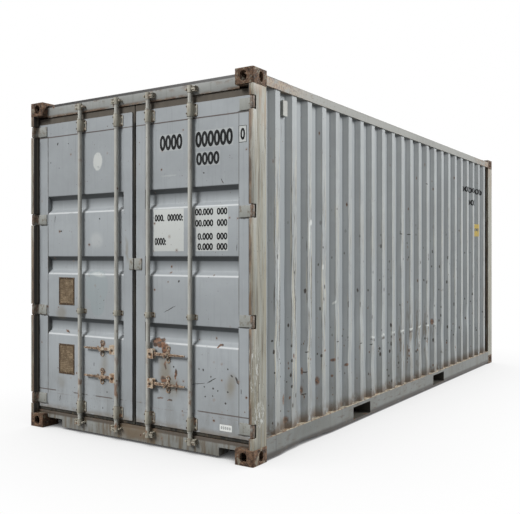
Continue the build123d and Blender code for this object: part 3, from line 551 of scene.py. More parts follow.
def wall_marks(finish):
    crest, scratched = rubbed_crests(finish)
    pits = finish.broken(finish.specks((0.06, 0.045, 0.09), 0.33), 0.5, 0.34, 0.48)
    finish.lay(finish.times(pits, finish.ramp(finish.z, 2.2, 1.3)), (44, 38, 32))
    rusty = finish.broken(finish.marks(on_wall(RUSTY, softness=0.6)), (0.02, 0.015, 0.03), 0.22, 0.44)
    finish.lay(rusty, finish.blotch(0.02, 0.42, 0.6, (62, 42, 30), (122, 82, 54)))
    chips = [(y, z, *size) for size, places in CHIPS.items() for y, z in places]
    finish.lay(finish.marks(on_wall(chips)), (42, 37, 32))
    pale = on_wall(PALE_LINES, 1.0, 0.03, 0.4) + on_wall(PALE_CHIPS, 1.0, 0.05, 0.4)
    finish.lay(finish.marks(pale), PALE, 0.85)
    drips = on_wall([DRIP], 0.8, 0.05) + on_wall([DRIP_HEAD], 0.9, 0.05)
    finish.lay(finish.marks(drips), (58, 54, 44))
    knocked_crease(finish, crest)
    under = finish.broken(finish.ramp(finish.z, 0.62, 0.24), (0.06, 0.05, 0.25), 0.36, 0.56)
    finish.lay(under, (104, 100, 88), 0.3)
    ledge = finish.broken(finish.ramp(finish.z, 0.290, 0.185), (0.08, 0.08, 0.1), 0.3, 0.52)
    finish.lay(ledge, (78, 64, 48), 0.95)
    return finish.times(scratched, -0.5)


WALL_COAT = (147, 152, 153)
wall_paint = painted("wall_paint", WALL_COAT, wall_marks, streaks=0.25, chips=0.15, wear=0.3, stretch=2.0)
print("wall paint has", len(wall_paint.node_tree.nodes), "nodes")


# %% [markdown]
# ## Posts, beams and rails
# Posts are an older, greener coat with rust down their inner edge, where the door rubs and water stands, and
# painted shade on their side beside the door.
# Beams at the door end flake along their edges, and rails rust from the castings outwards.
# %% Post paint
def post_marks(finish):
    finish.lay(finish.cloud((0.03, 0.03, 0.6), 0.4, 0.62, 0.75), (136, 130, 112))
    dark = finish.cloud((0.012, 0.012, 0.35), 0.52, 0.64, 0.85)
    finish.lay(dark, (84, 76, 60))
    crown = finish.broken(finish.ramp(finish.z, 2.30, 2.75), (0.05, 0.05, 0.2), 0.42, 0.62, 0.8)
    finish.lay(crown, (128, 106, 80))
    high = finish.mark((1.2, -3.0, 0.66), (0.05, 0.09, 0.28), soft=0.5)
    low = finish.mark((1.2, -2.95, 0.36), (0.05, 0.10, 0.13), soft=0.5)
    high = finish.broken(high, (0.012, 0.012, 0.06), 0.56, 0.62)
    low = finish.broken(low, (0.01, 0.01, 0.04), 0.52, 0.58)
    finish.lay(finish.most(high, low), PALE)
    inner = finish.broken(finish.ramp(finish.out, 1.212, 1.196), (0.04, 0.04, 0.26), 0.34, 0.50)
    finish.lay(inner, finish.blotch((0.01, 0.01, 0.1), 0.42, 0.58, (62, 47, 35), (112, 90, 68)), 0.92)
    # Painted shade on the post's side in the recess beside the door: near black at the rim, dark brown deeper
    # in, and near black again along a rib.
    finish.lay(finish.ramp(finish.out, 1.183, 1.180), (30, 27, 23))
    pock = finish.broken(finish.specks((0.02, 0.02, 0.045), 0.22), 0.2, 0.4, 0.55)
    finish.lay(pock, (60, 50, 40))
    rib = finish.line(finish.y, -2.985, 0.012, 0.006)
    shadowed = finish.mix(rib, (30, 27, 23), (82, 76, 66))
    finish.lay(finish.ramp(finish.out, 1.1775, 1.1765), shadowed, 0.9)
    return finish.times(dark, -0.4)


post_paint = painted("post_paint", (142, 143, 135), post_marks, streaks=0.4, wear=0.8, dirt=0.5, stretch=3.0)
print("post paint has", len(post_paint.node_tree.nodes), "nodes")


# %% [markdown]
# ## Beam and rail paint
# These pieces are long and thin, and their rust follows their edges. Each edge is a height, so a ramp on Z
# finds it, and a cloud that is stretched along the beam breaks it up. A hand-painted mask could do the same,
# but it would have to be unwrapped and kept as a picture.
# %% Beam and rail paint
def beam_marks(finish):
    """Flakes and rust on the lips of the header, a painted shadow along its top edge, runs down the sill, and
    a brown patch under the doors.
    """
    flake = finish.broken(finish.ramp(finish.z, 2.80, 2.865), (0.10, 0.1, 0.05), 0.55, 0.66)
    lip = finish.broken(finish.ramp(finish.z, 2.792, 2.768), (0.16, 0.1, 0.04), 0.34, 0.58)
    scaly = finish.most(flake, finish.times(lip, finish.ramp(finish.z, 2.7, 2.74)))
    finish.lay(scaly, finish.blotch(0.02, 0.4, 0.6, (82, 66, 52), (112, 92, 74)))
    # Painted shadow: a near-black line along the top edge of the header.
    finish.lay(finish.ramp(finish.z, 2.847, 2.853), (20, 18, 16))
    runs = finish.broken(finish.ramp(finish.z, 0.22, 0.15), (0.03, 0.1, 0.25), 0.42, 0.66)
    finish.lay(runs, (92, 80, 62), 0.9)
    sill_lip = finish.times(finish.ramp(finish.z, 0.108, 0.124), finish.ramp(finish.z, 0.20, 0.16))
    finish.lay(finish.broken(sill_lip, (0.09, 0.1, 0.1), 0.12, 0.36), (62, 52, 41), 0.92)
    brown = finish.mark((0.05, -2.97, 0.08), (0.36, 0.1, 0.09), soft=0.7, outline="drifting")
    finish.lay(brown, (98, 82, 60), 0.85)
    return finish.times(scaly, -0.6)


def rail_marks(finish):
    """Rust that spreads from the castings, and a pale worn line along the top of the bottom rails."""
    away = finish.math("ABSOLUTE", finish.y)
    near = finish.broken(finish.ramp(away, 2.05, 2.80), (0.05, 0.12, 0.05), 0.36, 0.56, 0.9)
    high = finish.ramp(finish.z, 2.5, 2.6)
    finish.lay(finish.times(near, high), finish.blotch(0.02, 0.4, 0.6, RUST, (150, 132, 104)))
    crust = finish.broken(high, (0.02, 0.05, 0.02), 0.56, 0.66, 0.7)
    finish.lay(finish.times(crust, finish.ramp(away, 0.4, 2.6)), (98, 84, 64))
    lip = finish.times(finish.ramp(finish.z, 0.168, 0.174), finish.ramp(finish.z, 0.182, 0.178))
    worn_lip = finish.blotch(0.03, 0.45, 0.6, (178, 170, 150), (122, 92, 66))
    finish.lay(finish.broken(lip, (0.05, 0.16, 0.05), 0.3, 0.5), worn_lip)
    return finish.times(near, -0.3)


def low_rail_marks(finish):
    """The bottom rails as well: a dark scraped lower edge, scuffs, and the seam at each end plate."""
    height = rail_marks(finish)
    scrape = finish.broken(finish.ramp(finish.z, 0.072, 0.040), (0.1, 0.14, 0.05), 0.18, 0.42)
    finish.lay(scrape, (44, 40, 36), 0.95)
    scuff = finish.broken(finish.cloud((0.1, 0.10, 0.02), 0.54, 0.66), (0.4, 0.5, 0.3), 0.42, 0.6)
    finish.lay(scuff, (76, 68, 58), 0.8)
    seam = finish.line(finish.math("ABSOLUTE", finish.y), 2.720, 0.005, 0.002)
    finish.lay(seam, (44, 40, 36), 0.85)
    chips = finish.broken(finish.specks((0.05, 0.06, 0.04), 0.28), 0.5, 0.4, 0.55)
    finish.lay(chips, (64, 50, 40))
    return height


beam_paint = painted("beam_paint", (136, 138, 135), beam_marks, streaks=0.5, wear=0.8, dirt=0.55)
rail_paint = painted("rail_paint", (128, 129, 124), rail_marks, chips=0.18, wear=0.8, dirt=0.45)
low_rail_paint = painted("low_rail_paint", (106, 109, 107), low_rail_marks, wear=0.9, dirt=0.4)
print("bottom rail paint has", len(low_rail_paint.node_tree.nodes), "nodes")


# %% [markdown]
# ## Rods, fittings and hinges
# The locking bars were painted with the posts, and hands and wire have worn them. Fittings crust over in
# the same way, only more, and hinges rust from the knuckle outwards, where their paint is ground off at
# every turn.
# %% Fitting paints
def crusted(everywhere, grime, outline=0.0):
    """Marks for rods and fittings: a crust that thickens towards the ground, grime and dark edges."""
    def marks(finish):
        if outline:
            finish.lay(finish.edges(0.005, 0.84), (84, 79, 68), outline)
        crust = finish.cloud((0.05, 0.05, 0.10), 0.52, 0.64)
        low = finish.ramp(finish.z, 1.0, 0.3, 0.9)
        finish.lay(finish.times(crust, finish.most(low, everywhere)), finish.mix(0.5, RUST_PALE, RUST))
        finish.lay(finish.cloud((0.02, 0.02, 0.14), 0.55, 0.68, grime), (92, 84, 72))
        return finish.times(crust, -0.3)

    return marks


def hinge_marks(finish):
    knuckle = finish.broken(finish.ramp(finish.out, 1.150, 1.178), (0.03, 0.03, 0.05), 0.30, 0.55, 0.95)
    finish.lay(knuckle, finish.blotch(0.015, 0.4, 0.6, (70, 54, 42), (112, 88, 68)))
    finish.lay(finish.cloud(0.03, 0.52, 0.66, 0.7), (96, 84, 68))
    return finish.times(knuckle, -0.4)


bar_paint = painted("bar_paint", (173, 173, 166), crusted(0.15, 0.4), streaks=0.12, wear=0.4, dirt=0.15)
fitting_paint = painted("fitting_paint", (160, 157, 144), crusted(0.5, 0.7, 0.6), wear=0.95)
hinge_paint = painted("hinge_paint", (140, 142, 137), hinge_marks, wear=1.0)
print("fitting paint has", len(fitting_paint.node_tree.nodes), "nodes")


# %% [markdown]
# ## Bare and rusted metal
# The corner castings are thick cast steel that rusts all over, with a little paint left in the hollows.
# Handles, pins, bolts and the old data plates take the same recipe in other tones: a dark and a middle tone
# in patches, light rust in smaller ones, and light edges where hands and wind keep it dry.
# %% Rust recipe
def rusted(name, deep, middle, light, paint=None, size=0.03, amount=0.5):
    """Rust of three tones, with scraps of old paint where paint is given."""
    finish = Finish(name)
    finish.colour = finish.blotch(size, 0.38, 0.62, deep, middle)
    finish.lay(finish.cloud(size * 0.4, 0.52, 0.7, amount), light)
    if paint:
        finish.lay(finish.cloud((size * 1.6, size * 1.6, size * 2.2), 0.56, 0.62, 0.8), paint)
    finish.lay(finish.broken(finish.edges(0.007), 0.03, 0.34, 0.56, 0.85), light)
    pits = finish.cloud(0.008, 0.3, 0.7)
    return finish.close(finish.ramp(pits, -1.5, 1.5, 1.1), pits, 0.0025, 0.3)


CAST_TONES = (50, 37, 29), (98, 75, 58), (150, 122, 96), (128, 122, 108)
HANDLE_TONES = (78, 58, 46), (138, 114, 94), (212, 196, 174), (186, 177, 160)
HUB_TONES = (120, 88, 64), (176, 158, 136), (208, 196, 178), (190, 182, 168)
casting_rust = rusted("casting_rust", *CAST_TONES, size=0.035, amount=0.6)
handle_rust = rusted("handle_rust", *HANDLE_TONES, amount=0.85)
hub_paint = rusted("hub_paint", *HUB_TONES, size=0.04, amount=0.9)
pin_rust = rusted("pin_rust", (46, 36, 28), (78, 58, 44), (112, 84, 62))
bolt_dark = rusted("bolt_dark", (40, 34, 28), (62, 50, 40), (94, 76, 58), size=0.01)
plate_brown = rusted("plate_brown", (96, 81, 62), (134, 117, 94), (154, 139, 115), size=0.05)
plate_ink = rusted("plate_ink", (84, 70, 53), (102, 87, 68), (118, 102, 81), amount=0.4)
plate_dark = rusted("plate_dark", (56, 44, 32), (78, 62, 46), (100, 82, 62), amount=0.4)
print("casting rust has", len(casting_rust.node_tree.nodes), "nodes")


# %% [markdown]
# ## Rubber, plywood and film
# The door gasket is dusty black rubber, paler towards the top. The floor is plywood with long grain and a seam
# every 250 mm. Stencil paint and vinyl are thin films that wear through in small patches.
# %% Other finishes
def rubber(name):
    finish = Finish(name)
    finish.colour = finish.blotch((0.05, 0.05, 0.3), 0.35, 0.65, (34, 34, 32), (66, 63, 56))
    dust = finish.broken(finish.ramp(finish.z, 0.3, 0.14), (0.08, 0.08, 0.1), 0.5, 0.7, 0.7)
    finish.lay(dust, (88, 76, 60))
    finish.lay(finish.ramp(finish.z, 2.60, 2.64, 0.62), (104, 97, 88))
    return finish.close(0.8, finish.cloud(0.01, 0.3, 0.7), 0.001, 0.25)


def plywood(name, board=0.25):
    finish = Finish(name)
    finish.colour = finish.blotch((0.012, 0.5, 0.1), 0.35, 0.65, (92, 66, 44), (128, 96, 66))
    finish.lay(finish.cloud((0.25, 0.4, 0.3), 0.45, 0.62, 0.6), (66, 52, 40))
    seam = finish.ramp(finish.math("PINGPONG", finish.x, board / 2), 0.003, 0.0015)
    finish.lay(seam, (30, 24, 18))
    grain = finish.cloud((0.01, 0.4, 0.1), 0.3, 0.7)
    return finish.close(0.8, finish.math("SUBTRACT", grain, seam), 0.0015)


def flat_film(name, colour, worn_to, share=0.66, fade=0.4):
    """Stencil paint or vinyl, a little worn through."""
    finish = Finish(name)
    worn = finish.cloud(0.012, share, share + 0.05)
    finish.colour = finish.mix(worn, colour, worn_to)
    finish.lay(finish.cloud(0.1, 0.4, 0.65, fade), shade(worn_to, 1.1))
    return finish.close(0.75, worn, 0.0004, 0.2)


gasket_rubber = rubber("gasket_rubber")
floor_ply = plywood("floor_ply")
stencil_black = flat_film("stencil_black", (10, 11, 12), (120, 124, 126), 0.70, 0.06)
stencil_grey = flat_film("stencil_grey", (112, 116, 116), (168, 172, 170))
label_white = flat_film("label_white", (226, 228, 225), (180, 182, 180), 0.70)
label_yellow = flat_film("label_yellow", (196, 170, 84), (140, 138, 116), 0.55)
print("materials so far:", len(bpy.data.materials))


# %% [markdown]
# ## The finishes on the CAD nodes
# Every node gets one material, so each finish is written once with the nodes that wear it. Most pieces come
# in a right-hand and a left-hand one, and a star in a name stands for both.
# %% Put the finishes on
def spelled_out(names):
    """The names in a string, with a right-hand and a left-hand one for each name that has a star."""
    for name in names.split():
        for side in ("right", "left") if "*" in name else ("",):
            yield name.replace("*", side)


COATS = (
    (casting_rust, "bottom_corner_castings top_corner_castings"),
    (pin_rust, "hinge_pins hinge_lugs"),
    (beam_paint, "rear_sill rear_header"),
    (rail_paint, "front_sill front_header cross_members *_top_side_rail"),
    (low_rail_paint, "*_bottom_side_rail"),
    (wall_paint, "front_wall *_side_wall"),
    (roof_paint, "roof_panel roof_corner_plates"),
    (post_paint, "*_rear_post *_front_post"),
    (floor_ply, "floor_boards"),
    (pocket_paint, "forklift_pockets"),
    (trim_paint, "ventilators"),
    (fitting_paint, "sill_cam_keepers header_cam_keepers *_bar_bearings"),
    (fitting_paint, "*_inner_bar_cams *_outer_bar_cams"),
    (plate_brown, "data_plates"),
    (door_paint["right"], "right_door_frame right_door_panel"),
    (door_paint["left"], "left_door_frame left_door_panel"),
    (gasket_rubber, "*_door_gasket"),
    (hinge_paint, "*_door_hinges *_door_cleat"),
    (bar_paint, "*_inner_locking_bar *_outer_locking_bar"),
    (hub_paint, "*_handle_hubs"),
    (handle_rust, "*_lower_handle *_upper_handle *_handle_catches"),
)
bare_nodes = set(nodes)
for material, names in COATS:
    for node in spelled_out(names):
        nodes[node].data.materials.clear()
        nodes[node].data.materials.append(material)
        bare_nodes.remove(node)
print("nodes without a finish:", sorted(bare_nodes))


# %% [markdown]
# ## A small kit for pieces
# A few steps come back with every piece: to make it the one selected object, to open it in edit mode, to
# apply a modifier, and at the end to set its transform, smooth it by angle and fix it to its body.
# %% Piece helpers
def take(piece):
    """Makes this the one selected and active object."""
    bpy.ops.object.select_all(action="DESELECT")
    piece.select_set(True)
    bpy.context.view_layer.objects.active = piece
    return piece


def edit(selected="SELECT"):
    """Opens the active piece in edit mode, with everything selected or, with DESELECT, nothing."""
    bpy.ops.object.mode_set(mode="EDIT")
    bpy.ops.mesh.select_all(action=selected)


def leave():
    bpy.ops.object.mode_set(mode="OBJECT")


def settle():
    """Moves the active piece's place, turn and size into its mesh."""
    bpy.ops.object.transform_apply(location=True, rotation=True, scale=True)


def apply_modifier(piece, kind, **settings):
    bpy.context.view_layer.objects.active = piece
    modifier = piece.modifiers.new(kind.lower(), kind)
    for setting, value in settings.items():
        setattr(modifier, setting, value)
    bpy.ops.object.modifier_apply(modifier=modifier.name)


def finish_piece(piece, body, *replaced, smooth=35):
    take(piece)
    settle()
    bpy.ops.object.shade_smooth_by_angle(angle=math.radians(smooth))
    piece.select_set(False)
    if replaced:
        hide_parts(*replaced)
    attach(piece, body)
    return piece


def joined(pieces, name, material):
    """Several meshes as one piece with one finish."""
    take(pieces[0])
    for piece in pieces[1:]:
        piece.select_set(True)
    if len(pieces) > 1:
        bpy.ops.object.join()
    whole = bpy.context.object
    whole.name = whole.data.name = name
    whole.data.materials.clear()
    whole.data.materials.append(material)
    return whole


# %% [markdown]
# ## Softened edges
# Pressed and cast steel has no knife edges, and a small radius is what catches the light. A CAD node is
# never changed, so a copy of its mesh is welded, its edges are bevelled, and the copy stands for it. The
# widths are by piece: thick castings have round edges, thin plates hardly any.
# %% Soften the heavy pieces
WELD, FLAT, SHARP = 0.00002, math.radians(0.6), math.radians(38)


def welded_copy(node):
    """A copy of a CAD node with its loose triangles joined and its flat faces whole, as the active object."""
    piece = bpy.data.objects.new(f"{node}_made", nodes[node].data.copy())
    bpy.context.scene.collection.objects.link(piece)
    take(piece)
    edit()
    bpy.ops.mesh.remove_doubles(threshold=WELD)
    bpy.ops.mesh.dissolve_limited(angle_limit=FLAT)
    leave()
    if piece.data.has_custom_normals:
        bpy.ops.mesh.customdata_custom_splitnormals_clear()
    return piece


EDGE_WIDTHS = {
    0.006: "bottom_corner_castings top_corner_castings",
    0.003: "*_door_hinges",
    0.0028: "*_rear_post",
    0.0025: "*_bar_bearings *_door_cleat",
    0.0022: "rear_sill",
    0.0018: "rear_header sill_cam_keepers header_cam_keepers",
    0.0015: "*_handle_catches *_upper_handle *_lower_handle",
}
for width, names in EDGE_WIDTHS.items():
    for node in spelled_out(names):
        piece = welded_copy(node)
        apply_modifier(piece, "BEVEL", width=width, segments=2, limit_method="ANGLE", angle_limit=SHARP)
        finish_piece(piece, body_of_node[node], node)
        print(node, "has", len(piece.data.polygons), "faces")


# %% [markdown]
# ## Lettering
# A real container has its numbers sprayed through stencils. Here every place for them holds plain zeros. A
# text object is made a mesh and then fitted to its box on the door, which makes the letters narrow. They
# stand a hair in front of the steel, so they ride with the door and never sink into it.
# %% Stencilled zeros
FILM = 0.0004


def stencil(text, left, right, bottom, top):
    """Zeros as a thin mesh in the plane of X and Z, drawn out to fill the box."""
    bpy.ops.object.text_add()
    letters = take(bpy.context.object)
    letters.data.body = text
    letters.data.offset = 0.04
    letters.data.resolution_u = 3
    letters.data.extrude = 1.0
    bpy.ops.object.convert(target="MESH")
    letters = bpy.context.object
    bpy.ops.object.origin_set(type="ORIGIN_GEOMETRY", center="BOUNDS")
    wide, tall, _ = letters.dimensions
    letters.scale = ((right - left) / wide, (top - bottom) / tall, FILM / 2)
    letters.rotation_euler = (math.radians(90), 0.0, 0.0)
    letters.location = ((left + right) / 2, 0.0, (bottom + top) / 2)
    settle()
    return letters


def on_plane(pieces, name, material, y, body="right_door"):
    """Joins pieces made at Y 0, moves them to a plane of a door and fixes them to it."""
    piece = joined(pieces, name, material)
    piece.location.y = y
    return finish_piece(piece, body)


DOOR_ROWS = (
    ("0000", 0.276, 0.509, 2.359, 2.483), ("000000", 0.639, 0.996, 2.356, 2.480),
    ("0000", 0.647, 0.871, 2.219, 2.319), ("000.  00000:", 0.222, 0.515, 1.800, 1.857),
    ("0000:", 0.222, 0.340, 1.611, 1.672),
    ("00.000  000", 0.636, 0.945, 1.836, 1.890), ("00.000  000", 0.636, 0.945, 1.750, 1.804),
    ("0.000  000", 0.660, 0.945, 1.648, 1.702), ("0.000  000", 0.660, 0.945, 1.570, 1.624),
)
door_numbers = on_plane([stencil(*row) for row in DOOR_ROWS], "door_numbers", stencil_black, panel_y - FILM)
on_plane([stencil("0", 1.066, 1.108, 2.380, 2.470)], "check_digit", stencil_black, door_y - FILM)
print("door numbers:", len(door_numbers.data.polygons), "faces")


# %% [markdown]
# ## The box round the last zero, and a small label
# Both start as an upright plane. For the box it is inset and its middle is deleted, and for the label its
# corners are rounded. Solidify then gives each the thickness of paint or vinyl.
# %% Flat outlines and plates
LABEL_THICK = 0.0008


def upright_plane(left, right, bottom, top):
    """A plane in X and Z, left in edit mode with everything selected."""
    bpy.ops.mesh.primitive_plane_add(size=1.0)
    plane = take(bpy.context.object)
    plane.scale = (right - left, top - bottom, 1.0)
    plane.rotation_euler = (math.radians(90), 0.0, 0.0)
    plane.location = ((left + right) / 2, 0.0, (bottom + top) / 2)
    settle()
    edit()
    return plane


def flat_frame(*edges, band, thick=FILM):
    """A thin rectangular outline."""
    outline = upright_plane(*edges)
    bpy.ops.mesh.inset(thickness=band)
    bpy.ops.mesh.delete(type="FACE")
    leave()
    apply_modifier(outline, "SOLIDIFY", thickness=thick, offset=0.0)
    return outline


def thin_plate(*edges, corner, thick=LABEL_THICK):
    """A thin plate with rounded corners."""
    plate = upright_plane(*edges)
    bpy.ops.mesh.bevel(offset=corner, segments=3, affect="VERTICES")
    leave()
    apply_modifier(plate, "SOLIDIFY", thickness=thick, offset=0.0)
    return plate


on_plane([flat_frame(1.051, 1.122, 2.362, 2.488, band=0.004)], "digit_box", stencil_black, door_y - FILM)
label_face = door_y - LABEL_THICK / 2
plate = thin_plate(0.875, 0.988, 0.214, 0.262, corner=0.004)
small_label = on_plane([plate], "small_label", label_white, label_face)
label_zeros = stencil("0 0 0 0 0", 0.886, 0.977, 0.227, 0.249)
on_plane([label_zeros], "label_row", stencil_grey, door_y - LABEL_THICK - 0.0003)
print("label:", [round(value, 3) for value in small_label.dimensions])


# %% [markdown]
# ## Bolts
# Small fasteners are modelled once, copied to every place, and joined to one piece for each body. A bolt is
# a six-sided cylinder whose face is inset and pushed in, on a flattened round washer. Its places are
# measured from the axis of its locking bar: two on the saddle of each bearing and more on its flange.
# %% Bolt models and places
FACING = (math.radians(90), 0.0, 0.0)


def bolt_model(radius, tall):
    """A hexagon head with a washer, facing the door end."""
    bpy.ops.mesh.primitive_cylinder_add(vertices=6, radius=radius, depth=tall, rotation=(*FACING[:2], 0.3))
    head = take(bpy.context.object)
    settle()
    edit("DESELECT")
    leave()
    for face in head.data.polygons:
        face.select = face.normal.y < -0.9
    bpy.ops.object.mode_set(mode="EDIT")
    bpy.ops.mesh.inset(thickness=radius * 0.22, depth=tall * 0.2)
    leave()
    behind = (0.0, tall * 0.45, 0.0)
    bpy.ops.mesh.primitive_cylinder_add(
        vertices=14, radius=radius * 1.5, depth=tall * 0.3, rotation=FACING, location=behind)
    washer = take(bpy.context.object)
    apply_modifier(washer, "BEVEL", width=tall * 0.1, segments=1)
    head.select_set(True)
    bpy.context.view_layer.objects.active = head
    bpy.ops.object.join()
    return bpy.context.object


def scatter(model, name, body, places, material, smooth=35):
    """Copies the model to each place, joins the copies and fixes them to the body, without the model."""
    copies = []
    for place in places:
        copy = bpy.data.objects.new(name, model.data.copy())
        bpy.context.scene.collection.objects.link(copy)
        copy.matrix_world = place if isinstance(place, Matrix) else Matrix.Translation(place)
        copies.append(copy)
    bpy.data.objects.remove(model)
    piece = finish_piece(joined(copies, name, material), body, smooth=smooth)
    print(name, len(places), "copies,", len(piece.data.polygons), "faces")


BAR_X, BAR_Y = (0.175, 0.610), -3.000
BEARING_BOLTS = (
    (-0.017, BAR_Y - 0.0195, (0.206, 0.260, 2.619, 2.673)),
    (0.036, door_y - 0.0085, (0.192, 0.274, 2.605, 2.687)),
    (0.038, panel_y - 0.0085, (1.042, 1.068)),
    (-0.015, BAR_Y - 0.0205, (1.055,)),
)
HUB_OUT, HUB_FACE, HUB_LEVELS = 0.036, 0.0225, (0.512, 0.748)
for side, sign in (("right", 1), ("left", -1)):
    dots = []
    for aside, y, levels in BEARING_BOLTS:
        dots += [(sign * x + aside, y, level) for x in BAR_X for level in levels]
    bearing_bolt = bolt_model(radius=0.0060, tall=0.005)
    scatter(bearing_bolt, f"{side}_bearing_bolts", f"{side}_door", dots, bolt_dark)
    hubs = [(sign * (BAR_X[0] + HUB_OUT), BAR_Y - HUB_FACE, level) for level in HUB_LEVELS]
    hub_bolt = bolt_model(radius=0.0085, tall=0.006)
    scatter(hub_bolt, f"{side}_hub_bolts", f"{side}_inner_bar", hubs, bolt_dark)


# %% [markdown]
# ## The data plates
# Each plate has a raised border, eight rivets and rows of worn, unreadable dashes. The rivet is a sphere
# cut in half and flattened. The dashes are one thin block, stretched to lengths that a seeded dice gives,
# so each run is alike.
# %% Borders, rivets and rows
def rivet_model(radius):
    """A low dome, facing the door end."""
    bpy.ops.mesh.primitive_uv_sphere_add(segments=10, ring_count=6, radius=radius)
    dome = take(bpy.context.object)
    edit()
    bpy.ops.mesh.bisect(plane_co=(0.0, 0.0, 0.0), plane_no=(0.0, 1.0, 0.0), use_fill=True, clear_outer=True)
    bpy.ops.mesh.select_all(action="SELECT")
    bpy.ops.transform.resize(value=(1.0, 0.6, 1.0))
    leave()
    return dome


PLATE_BOXES = ((-0.906, -0.710, 1.097, 1.339), (-0.906, -0.710, 0.491, 0.754))
BORDER, BORDER_THICK, RIVET_INSET = 0.017, 0.0016, 0.009
BORDER_LIFT, RIVET_LIFT, DASH_LIFT = 0.0006, 0.0012, 0.0003
plate_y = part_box("data_plates")[0].y
borders = [flat_frame(*edges, band=BORDER, thick=BORDER_THICK) for edges in PLATE_BOXES]
on_plane(borders, "plate_borders", plate_dark, plate_y - BORDER_LIFT, "left_door")
rivets = []
for left, right, bottom, top in PLATE_BOXES:
    middle = ((left + right) / 2, (bottom + top) / 2)
    for x in (left + RIVET_INSET, middle[0], right - RIVET_INSET):
        for z in (bottom + RIVET_INSET, middle[1], top - RIVET_INSET):
            if (x, z) != middle:
                rivets.append((x, plate_y - RIVET_LIFT, z))
scatter(rivet_model(radius=0.0042), "plate_rivets", "left_door", rivets, plate_brown, smooth=60)

MARGIN, ROW_PITCH, DASH_GAP, DASH_TALL, DASH_THICK = 0.026, 0.0155, 0.007, 0.0062, 0.0010
DASH_LENGTHS, DASH_SHARE = (0.010, 0.042), 0.82
dice = random.Random(7)
bpy.ops.mesh.primitive_cube_add(size=1.0)
dash = take(bpy.context.object)
dash.scale = (1.0, DASH_THICK, DASH_TALL)
settle()
dashes = []
for left, right, bottom, top in PLATE_BOXES:
    z = top - MARGIN - 0.008
    while z > bottom + MARGIN:
        x = left + MARGIN
        while x < right - MARGIN - 0.014:
            wide = min(dice.uniform(*DASH_LENGTHS), right - MARGIN - x)
            if dice.random() < DASH_SHARE:
                place = Matrix.Translation((x + wide / 2, plate_y - DASH_LIFT, z))
                dashes.append(place @ Matrix.Diagonal((wide, 1.0, 1.0, 1.0)))
            x += wide + DASH_GAP
        z -= ROW_PITCH
scatter(dash, "plate_rows", "left_door", dashes, plate_ink)

# %% [markdown]
# ## Floor screws
# Each floor board is held down by a pair of screws at every cross member. The rivet's dome serves again,
# turned up.
# %% Floor screws
floor_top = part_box("floor_boards")[1].z
FIRST_BOARD, BOARD_PITCH, BOARDS, SCREW_ASIDE = -1.0, 0.25, 9, 0.04
FIRST_MEMBER, MEMBER_PITCH, MEMBERS = -2.72, 0.287, 20
face_up = Matrix.Rotation(math.radians(-90), 4, "X")
screws = []
for member in range(MEMBERS):
    for board in range(BOARDS):
        for aside in (-SCREW_ASIDE, SCREW_ASIDE):
            x = FIRST_BOARD + board * BOARD_PITCH + aside
            screws.append(Matrix.Translation((x, FIRST_MEMBER + member * MEMBER_PITCH, floor_top)) @ face_up)
scatter(rivet_model(radius=0.0055), "floor_screws", "container", screws, bolt_dark, smooth=60)

# %% [markdown]
# ## Numbers and a label that follow the corrugation
# Paint and vinyl lie on the folded wall, so a flat mesh is cut where the steel folds and then laid on its
# profile. Shrinkwrap could do it too, but it leaves a letter's long faces bridging the folds.
# %% Lay flat pieces on the side wall
RIDGE_PITCH, RIDGE_TOP, RIDGE_SLOPE, RIDGE_DEPTH = 0.244, 0.034, 0.056, 0.036
FIRST_RIDGE, RIDGES = -2.684, 24


def wall_profile(y):
    """How far the outside of the right-hand wall lies from the middle of the container at this Y."""
    near = abs((y - FIRST_RIDGE + RIDGE_PITCH / 2) % RIDGE_PITCH - RIDGE_PITCH / 2)
    return ridge_x - RIDGE_DEPTH * min(1.0, max(0.0, (near - RIDGE_TOP) / RIDGE_SLOPE))


def lay_on_wall(pieces, name, material, lift):
    """Joins pieces made for the door end, turns them to the right-hand side and lays them on the steel."""
    piece = joined(pieces, name, material)
    piece.rotation_euler = (0.0, 0.0, math.radians(90))
    take(piece)
    settle()
    ys = [corner[1] for corner in piece.bound_box]
    reaches = [side * reach for side in (-1, 1) for reach in (RIDGE_TOP, RIDGE_TOP + RIDGE_SLOPE)]
    for fold in (FIRST_RIDGE + ridge * RIDGE_PITCH + reach for ridge in range(RIDGES) for reach in reaches):
        if min(ys) < fold < max(ys):
            edit()
            bpy.ops.mesh.bisect(plane_co=(0.0, fold, 0.0), plane_no=(0.0, 1.0, 0.0))
            leave()
    for point in piece.data.vertices:
        point.co.x += wall_profile(point.co.y) + lift
    print(name, "has", len(piece.data.polygons), "faces")
    finish_piece(piece, "container")


WALL_ROWS = (("0000  000000  0", 1.748, 2.625, 2.372, 2.448), ("0000", 1.990, 2.262, 2.206, 2.286))
side_label = thin_plate(2.237, 2.441, 1.799, 1.966, corner=0.006, thick=0.0006)
side_zeros = stencil("00 00", 2.262, 2.416, 1.868, 1.910)
lay_on_wall([stencil(*row) for row in WALL_ROWS], "wall_numbers", stencil_black, lift=0.0005)
lay_on_wall([side_label], "side_label", label_yellow, lift=0.0006)
lay_on_wall([side_zeros], "side_label_row", stencil_grey, lift=0.0013)


# %% [markdown]
# ## Dents
# Years of handling have pushed in the lower crests of the right-hand wall and the bottom rail near the door
# end. A copy of each is cut into smaller faces, and single spots are then pushed in with soft proportional
# editing.
# %% Dent tools
def cut_across(piece, axis, places):
    """Cuts the whole mesh at these places along one axis."""
    take(piece)
    normal = Vector((0.0, 0.0, 0.0))
    normal[axis] = 1.0
    for place in places:
        edit()
        bpy.ops.mesh.bisect(plane_co=normal * place, plane_no=normal)
        leave()


